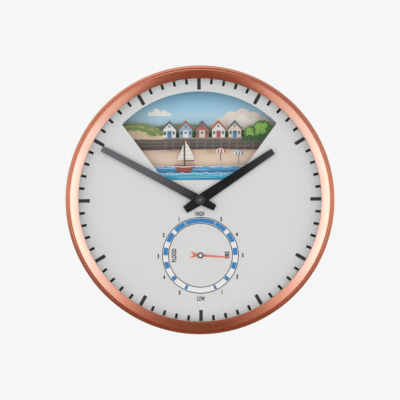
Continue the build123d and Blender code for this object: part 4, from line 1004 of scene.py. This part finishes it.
def hutOutlines(middle):  # wall, roof, door frame, door and dark openings, each round x = 0 and then moved
    hut, eave, foot = hutShape, hutShape["eave"], shore["walkTop"]
    half, eaveHalf, doorHalf, border = hut["half"], hut["eaveHalf"], hut["doorHalf"], hut["doorFrame"]
    cutIn, cutUp = hut["eaveCut"]
    wall = [(-half, foot), (half, foot), (half, hut["wall"]), (0, hut["peak"]), (-half, hut["wall"])]
    roof = [
        (-eaveHalf, eave), (-eaveHalf + cutIn, eave - cutUp), (0, hut["peak"] - hut["roofThick"]),
        (eaveHalf - cutIn, eave - cutUp), (eaveHalf, eave), (0, hut["peak"] + hut["roofOver"]),
    ]
    doorFrame = box(-doorHalf - border, foot, doorHalf + border, hut["door"] + border)
    door = box(-doorHalf, foot, doorHalf, hut["door"])
    paneHalf, paneLow, paneHigh = hut["pane"]
    openings = [box(-paneHalf, hut["door"] + paneLow, paneHalf, hut["door"] + paneHigh)]
    openings.append(arcRun(hut["vent"], 0, 345, count=23, centre=(0, hut["ventAt"])))
    out, shutterHalf, low, high = hut["shutter"]
    openings += [box(side * out - shutterHalf, low, side * out + shutterHalf, high) for side in (-1, 1)]
    groups = ([wall], [roof], [doorFrame], [door], openings)
    return [[[(middle + x, z) for x, z in outline] for outline in group] for group in groups]


hutFlats = {}
for middle, wallPaint, roofPaint, doorPaint in hutRow:
    finishes = (wallPaint, roofPaint, "boardWhite", doorPaint, "paneGlass")
    for finish, outlines, rise in zip(finishes, hutOutlines(middle), hutShape["rises"]):
        hutFlats.setdefault(finish, []).extend(layerCard(shore, outline, rise) for outline in outlines)
keepByFinish("hut", shore, hutFlats)

walkTop, railReach = shore["walkTop"], shore["railReach"]
rails = [heldIn(box(-railReach, z, railReach, z + shore["railHigh"])) for z in shore["rails"]]
timbers = [layerCard(shore, rail, rise=0.55) for rail in rails]
x, postsEnd = shore["posts"]
while x < postsEnd:
    post = box(x, shore["postLow"], x + shore["postWidth"], walkTop - shore["postDrop"])
    timbers.append(layerCard(shore, post, rise=0.7))
    x += shore["postPitch"]
keepCards("walkPosts", shore, "timberMid", timbers)
left, low, right, high = shore["deck"]
deck = heldIn(box(left, walkTop + low, right, walkTop + high))
paintCards("walkDeck", shore, "timberPale", [deck], rise=1.5)
print("shore painted")

beach = {
    "body": "case", "slot": "beach_card", "face": 55.0,
    "parasols": [(31.0, 69.5, "doorRed"), (57.0, 66.0, "doorBlue")],
    "half": 7.2,
    "rise": 6.2,
    "scallop": 0.9,
    "pole": 12.5,
    "poleHalf": 0.45,
    "knob": 0.8,
    "gores": 6,
}
half, rise, gores, poleHalf = (beach[key] for key in ("half", "rise", "gores", "poleHalf"))
rib = [pi / 2 * i / 8 for i in range(9)]
goreFlats = {}
poles = []
for x, z, stripe in beach["parasols"]:
    poles.append(box(x - poleHalf, z - beach["pole"], x + poleHalf, z + rise + beach["knob"]))
    for number in range(gores):
        first = -1 + 2 * number / gores
        last = first + 2 / gores
        outline = [(x + half * first * sin(turn), z + rise * cos(turn)) for turn in rib]
        outline += [(x + half * (first + last) / 2, z - beach["scallop"])]
        outline += [(x + half * last * sin(turn), z + rise * cos(turn)) for turn in reversed(rib[1:])]
        finish = stripe if number % 2 else "boardWhite"
        goreFlats.setdefault(finish, []).append(layerCard(beach, outline, rise=0.8))
keepByFinish("parasol", beach, goreFlats)
paintCards("parasolPoles", beach, "timberDark", poles, rise=0.5)


# sea: foam on the crests and brush strokes, on the two panels that rise and fall

seaPanels = {
    "rear": {
        "body": "rear_sea", "slot": "sea_rear", "face": 59.0, "top": 50.5, "half": 88.88,
        "pale": [(-48, 46.6, 30, 0.9), (30, 47.4, 24, 0.8), (68, 44.6, 16, 0.8), (-2, 44.0, 20, 0.7)],
        "deep": [(-30, 43.4, 34, 0.9), (44, 42.4, 30, 0.9), (-66, 48.0, 12, 0.6), (8, 48.2, 14, 0.5)],
    },
    "front": {
        "body": "front_sea", "slot": "sea_front", "face": 66.5, "top": 40.5, "half": 77.38,
        "pale": [(-36, 37.0, 26, 0.8), (28, 36.0, 34, 0.9), (-8, 33.2, 30, 0.7), (52, 32.6, 14, 0.6)],
        "deep": [(-20, 35.2, 30, 0.7), (42, 38.0, 20, 0.6), (20, 31.2, 34, 0.9), (-46, 32.0, 16, 0.7)],
    },
}
crests = {
    "count": 9, "steps": 8, "dip": 1.6, "foam": 0.9, "curl": 0.35, "curlPace": 1.9, "end": 0.3, "under": 0.05,
}
brush = {"points": 12, "wave": 0.35, "wavePace": 7, "taper": 0.8}


def brushStroke(x, z, half, thick):
    line = []
    count = brush["points"]
    for i in range(2 * count):
        share = min(i, 2 * count - i) / count
        swell = thick * sin(pi * share) ** brush["taper"]
        wave = brush["wave"] * sin(share * brush["wavePace"] + x)
        line.append((x - half + 2 * half * share, z + wave + (swell if i <= count else -swell) / 2))
    return line


def foamLine(panel):
    half, count = panel["half"], crests["count"] * crests["steps"]
    pitch = 2 * half / crests["count"]
    upper, lower = [], []
    for i in range(count + 1):
        x = -half + crests["end"] + 2 * (half - crests["end"]) * i / count
        across = ((x + half) % pitch) / pitch
        z = panel["top"] - crests["dip"] * (1 - (2 * across - 1) ** 2) - crests["under"]
        upper.append((x, z))
        lower.append((x, z - crests["foam"] - crests["curl"] * sin(i * crests["curlPace"])))
    return upper + lower[::-1]


for side, panel in seaPanels.items():
    paintCards(side + "Foam", panel, "foamWhite", [foamLine(panel)], rise=0.35)
    for kind, finish, lift in (("Pale", "streakPale", 0.2), ("Deep", "streakDeep", 0.15)):
        strokes = [brushStroke(*stroke) for stroke in panel[kind.lower()]]
        paintCards(side + kind + "Strokes", panel, finish, strokes, lift)

boat = {
    "back": 60.8,
    "front": 62.3,
    "hull": [
        (-36.6, 51.6), (-35.6, 47.2), (-33.0, 43.2), (-29.0, 40.4), (-24.0, 39.3), (-18.0, 39.5),
        (-13.6, 41.4), (-10.2, 45.4), (-8.2, 49.4), (-7.2, 52.6), (-11.0, 51.4), (-16.0, 50.7),
        (-22.0, 50.4), (-29.0, 50.7), (-33.0, 51.2),
    ],
    "strake": [
        (-36.2, 49.9), (-35.9, 48.6), (-29.0, 47.8), (-22.0, 47.5), (-15.0, 47.9), (-9.0, 49.0), (-8.5, 50.3),
        (-15.0, 49.2), (-22.0, 48.8), (-29.0, 49.1),
    ],
    "mast": [(-23.0, 49.5), (-21.0, 49.5), (-21.4, 88.0), (-22.6, 88.0)],
    "boom": [(-22.0, 56.8), (-7.6, 57.1), (-7.6, 57.9), (-22.0, 58.0)],
    "mainFoot": [(-20.8, 58.5), (-14.0, 58.1), (-7.4, 58.7)],
    "leech": (-7.4, 58.5, 13.4, 27.9),  # where it starts, how far it leans and rises
    "leechCurve": 1.35,
    "jib": [(-23.4, 81.5), (-26.0, 74.5), (-29.4, 66.6), (-33.0, 58.8), (-28.4, 58.3), (-23.4, 58.6)],
    "pennant": [(-21.6, 87.9), (-21.6, 85.6), (-15.4, 86.3)],
}
aft, foot, lean, climb = boat["leech"]
leech = [(aft - lean * (i / 12) ** boat["leechCurve"], foot + climb * i / 12) for i in range(1, 13)]
boatCards = {  # finish, outlines, how far back and front lie from the boat's own, rim, replaced node
    "boatHull": ("hullRed", [boat["hull"]], 0.0, 0.0, 0.3, ["sail_boat"]),
    "boatStrake": ("boardWhite", [boat["strake"]], 1.4, 0.25, 0.0, []),
    "boatSpars": ("timberDark", [boat["mast"], boat["boom"]], 0.0, -0.1, 0.2, []),
    "boatSails": ("sailCloth", [boat["mainFoot"] + leech, boat["jib"]], 0.1, 0.1, 0.2, []),
    "boatPennant": ("doorRed", [boat["pennant"]], 0.3, -0.3, 0.0, []),
}
for name, (finish, outlines, behind, ahead, rim, stands) in boatCards.items():
    cards = [cutSheet(outline, boat["back"] + behind, boat["front"] + ahead, rim) for outline in outlines]
    keep(joinPieces(cards), name, "rear_sea", finish, stands)
print("sea and boat painted")


# back: fixings and the parts that a hand moves

def copyTo(piece, places):  # copies with their own mesh, joined into one piece; the first stays in place
    made = [piece]
    for x, z in places:
        pickUp([piece])
        bpy.ops.object.duplicate(linked=False)
        bpy.ops.transform.translate(value=(x * mm, 0, z * mm))
        bpy.ops.object.transform_apply(location=True)
        made.append(bpy.context.object)
    return joinPieces(made)


def cutAway(piece, cutter):
    pickUp([piece])
    cut = piece.modifiers.new("cut", "BOOLEAN")
    cut.operation = "DIFFERENCE"
    cut.solver = "EXACT"
    cut.object = cutter
    bpy.ops.object.modifier_apply(modifier="cut")
    bpy.data.objects.remove(cutter)
    return piece


panelScrew = {
    "circle": 169.25,
    "count": 6,
    "profile": [
        (0, 1.2), (1.2, 1.24), (2.1, 1.45), (2.65, 1.85), (2.8, 2.3), (2.8, 3.0), (1.4, 3.0), (1.4, 6.8),
        (0, 6.8),
    ],
    "slotHalf": 1.75,
    "slotWide": 0.3,
    "slotRun": (0.6, 2.1),
}
spots = [onCircle(panelScrew["circle"], 360 / panelScrew["count"] * i) for i in range(panelScrew["count"])]
topX, topZ = spots[0]
far, near = panelScrew["slotHalf"], panelScrew["slotWide"]
cross = [
    (-near, -far), (near, -far), (near, -near), (far, -near), (far, near), (near, near),
    (near, far), (-near, far), (-near, near), (-far, near), (-far, -near), (-near, -near),
]
driverSlot = cutSheet([(topX + x, topZ + z) for x, z in cross], *panelScrew["slotRun"])
head = cutAway(turnOnLathe(panelScrew["profile"], spots[0], steps=40, closed=False), driverSlot)
screws = copyTo(head, [(x - topX, z - topZ) for x, z in spots[1:]])
keep(screws, "panelScrews", "case", "zincSteel", ["panel_screws"])

rivet = {
    "corner": (-16.0, 108.0),
    "apart": 32.0,
    "profile": [
        (0, 0.2), (1.2, 0.26), (2.2, 0.5), (2.8, 0.8), (3.0, 1.0), (1.6, 1.0), (1.6, 6.0), (3.0, 6.0),
        (2.6, 6.6), (0, 6.8),
    ],
}
stem = turnOnLathe(rivet["profile"], rivet["corner"], steps=32, closed=False)
apart = rivet["apart"]
rivets = copyTo(stem, [(apart, 0), (0, apart), (apart, apart)])
keep(rivets, "hangerRivets", "case", "zincSteel", ["hanger_rivets"])

knobGrip = {
    "centre": (-16.697, -11.968), "ribs": 36, "low": 8.9, "high": 9.3,
    "back": 0.85, "front": 2.9, "rim": 0.12,
}
ribs = []
for i in range(knobGrip["ribs"] * 4):
    reach = knobGrip["high"] if i % 4 in (1, 2) else knobGrip["low"]
    ribs.append(onCircle(reach, 360 * i / (knobGrip["ribs"] * 4), knobGrip["centre"]))
grip = cutSheet(ribs, knobGrip["front"], knobGrip["back"], knobGrip["rim"])
keep(grip, "knobGrip", "set_knob", "blackPlastic")

coverGrip = {
    "left": 33.3, "right": 51.3, "first": -115.8, "pitch": 2.6, "count": 5, "high": 1.2,
    "back": 1.4, "front": 0.9, "rim": 0.2,
}
bars = []
for i in range(coverGrip["count"]):
    low = coverGrip["first"] + i * coverGrip["pitch"]
    outline = box(coverGrip["left"], low, coverGrip["right"], low + coverGrip["high"])
    bars.append(cutSheet(outline, coverGrip["back"], coverGrip["front"], coverGrip["rim"]))
keep(joinPieces(bars), "coverGrip", "battery_door", "blackPlastic")

buttonCap = {
    "centre": (-49.0, -95.0),
    "profile": [(0, 1.45), (1.5, 1.5), (2.4, 1.68), (2.85, 2.0), (2.95, 2.4), (2.95, 3.4), (0, 3.4)],
}
cap = turnOnLathe(buttonCap["profile"], buttonCap["centre"], steps=40, closed=False)
keep(cap, "setButtonCap", "set_button", "capWhite")
print("back fitted")


# camera, light and floor

cameraPlace = {
    "target": (0.0, -0.079, 0.0),
    "distance": 2.2,
    "elevation": 0.8,
    "lens": 136.57,
    "roll": -0.507,
}
above = radians(cameraPlace["elevation"])
outward = Vector((0, -cos(above), sin(above)))  # straight in front of the dial
roll = Quaternion((0, 0, 1), radians(cameraPlace["roll"]))
dropSelection()
bpy.ops.object.camera_add(location=Vector(cameraPlace["target"]) + outward * cameraPlace["distance"])
camera = bpy.context.object
camera.rotation_mode = "QUATERNION"
camera.rotation_quaternion = (-outward).to_track_quat("-Z", "Y") @ roll
camera.data.lens = cameraPlace["lens"]
camera.data.sensor_width = 36
bpy.context.scene.camera = camera

softboxes = {
    "softboxLeft": (-1.45, -1.25, 0.05),
    "softboxRight": (1.45, -1.25, 0.05),
    "aim": (0, -0.08, 0),
    "width": 1.0,
    "tall": 1.6,
    "watts": 4.0,
}
for name in ("softboxLeft", "softboxRight"):
    place = Vector(softboxes[name])
    dropSelection()
    bpy.ops.object.light_add(type="AREA", location=place)
    lamp = bpy.context.object
    lamp.name = name
    lamp.data.shape = "RECTANGLE"
    lamp.data.size = softboxes["width"]
    lamp.data.size_y = softboxes["tall"]
    lamp.data.energy = softboxes["watts"]
    lamp.rotation_mode = "QUATERNION"
    lamp.rotation_quaternion = (Vector(softboxes["aim"]) - place).to_track_quat("-Z", "Y")

backdrop = {
    "white": 0.922,
    # from ahead to behind
    "fill": [(0.0, (2.45,) * 3), (0.12, (0.65,) * 3), (0.5, (0.09,) * 3), (1.0, (0.66,) * 3)],
    "front": [  # in metal: a dim warm room ahead, cool softboxes to both sides
        (0.0, (0.20, 0.114, 0.067)), (0.315, (0.46, 0.33, 0.24)), (0.475, (1.06, 1.10, 1.02)),
        (0.645, (1.12, 1.56, 1.70)), (0.77, (1.27, 2.35, 2.78)), (0.90, (1.36, 2.43, 3.08)),
        (1.0, (1.42, 2.55, 3.25)),
    ],
    "rear": [  # in metal: the pale wall, darker and warmer low down
        (0.0, (0.28, 0.17, 0.09)), (0.25, (0.40, 0.29, 0.185)), (0.43, (0.61, 0.53, 0.37)),
        (0.5, (0.78, 0.72, 0.54)), (0.8, (0.74, 0.70, 0.60)), (1.0, (0.92, 0.92, 0.85)),
    ],
    "turnsRear": (-0.30, -0.02),  # from the room ahead to the wall behind
    "ceiling": (0.55, 0.9, 0.175),  # from and to this height the room reaches this much further out
    "dimCorner": -0.85,  # upper right and lower left of that wall
}
world = bpy.data.worlds.new("studio")
bpy.context.scene.world = world
world.use_nodes = True
studio = world.node_tree


def studioCurve(stops, node, output, lowest):  # light read from one part of a direction
    peak = max(max(colour) for _, colour in stops)
    reach = addNode(studio, "MapRange", {"From Min": lowest})
    ramp = addRamp(studio, [(place, tuple(level / peak for level in colour)) for place, colour in stops])
    lift = addNode(studio, "VectorMath", {"Scale": peak}, "SCALE")
    wire(node, output + ">Value", reach, "Result>Fac", ramp, "Color>0", lift)
    return lift


path = addNode(studio, "LightPath")
facing = addNode(studio, "TexCoord")
split = addNode(studio, "SeparateXYZ")
sideways = addNode(studio, "Math", operation="ABSOLUTE")
ceiling = addNode(studio, "MapRange", dict(zip(("From Min", "From Max", "To Max"), backdrop["ceiling"])))
room = addNode(studio, "Math", operation="SUBTRACT")
wire(facing, "Generated>Vector", split, "X>0", sideways, "Value>0", room)
wire(split, "Z>Value", ceiling, "Result>1", room)
corner = addNode(studio, "Math", operation="MULTIPLY")
corner.use_clamp = True
shade = addNode(studio, "Math", {1: backdrop["dimCorner"], 2: 1.0}, "MULTIPLY_ADD")
uneven = addNode(studio, "VectorMath", operation="SCALE")
wire(split, "X>0", corner, "Value>0", shade, "Value>Scale", uneven)
wire(split, "Z>1", corner)
roomLight = studioCurve(backdrop["front"], room, "Value", 0.0)
wallLight = studioCurve(backdrop["rear"], split, "Z", -1.0)
fillLight = studioCurve(backdrop["fill"], split, "Y", -1.0)
turnsRear = addRange(studio, *backdrop["turnsRear"], "From")
mirrored, lit, shown = (addNode(studio, "Mix", dataType="RGBA") for _ in range(3))
seen = addNode(studio, "Math", operation="MAXIMUM")
setSockets(shown, {7: (*(backdrop["white"],) * 3, 1)})
wire(split, "Y>Value", turnsRear, "Result>Factor", mirrored, "2>7", lit, "2>6", shown)
wire(shown, "2>Color", studio.nodes["Background"])
wire(roomLight, "Vector>6", mirrored)
wire(wallLight, "Vector>0", uneven, "Vector>7", mirrored)
wire(fillLight, "Vector>6", lit)
wire(path, "Is Glossy Ray>Factor", lit)
wire(path, "Is Camera Ray>0", seen, "Value>Factor", shown)
wire(path, "Is Transmission Ray>1", seen)

floorPlace = {"drop": 0.62, "half": 0.42, "inMetal": (0.26, 0.155, 0.085), "seen": 0.80}
dropSelection()
bpy.ops.mesh.primitive_plane_add(size=2 * floorPlace["half"], location=(0, 0, -floorPlace["drop"]))
floor = bpy.context.object
floor.name = "paleFloor"
tree = paint["paleFloorPaint"].node_tree
shader = tree.nodes["Principled BSDF"]
setSockets(shader, {"Emission Color": (1, 1, 1, 1)})
path = addNode(tree, "LightPath")
# the camera sees it as pale as the backdrop, and metal sees the room's own light there
pale = addNode(tree, "Math", {1: floorPlace["seen"]}, "MULTIPLY")
glow = addNode(tree, "Emission", {"Color": (*floorPlace["inMetal"], 1)})
either = addNode(tree, "MixShader")
wire(path, "Is Camera Ray>0", pale, "Value>Emission Strength", shader, "BSDF>1", either)
wire(path, "Is Glossy Ray>Fac", either, "Shader>Surface", tree.nodes["Material Output"])
wire(glow, "Emission>2", either)
floor.data.materials.append(paint["paleFloorPaint"])
bpy.context.scene.view_settings.view_transform = "Standard"
print("stage set")
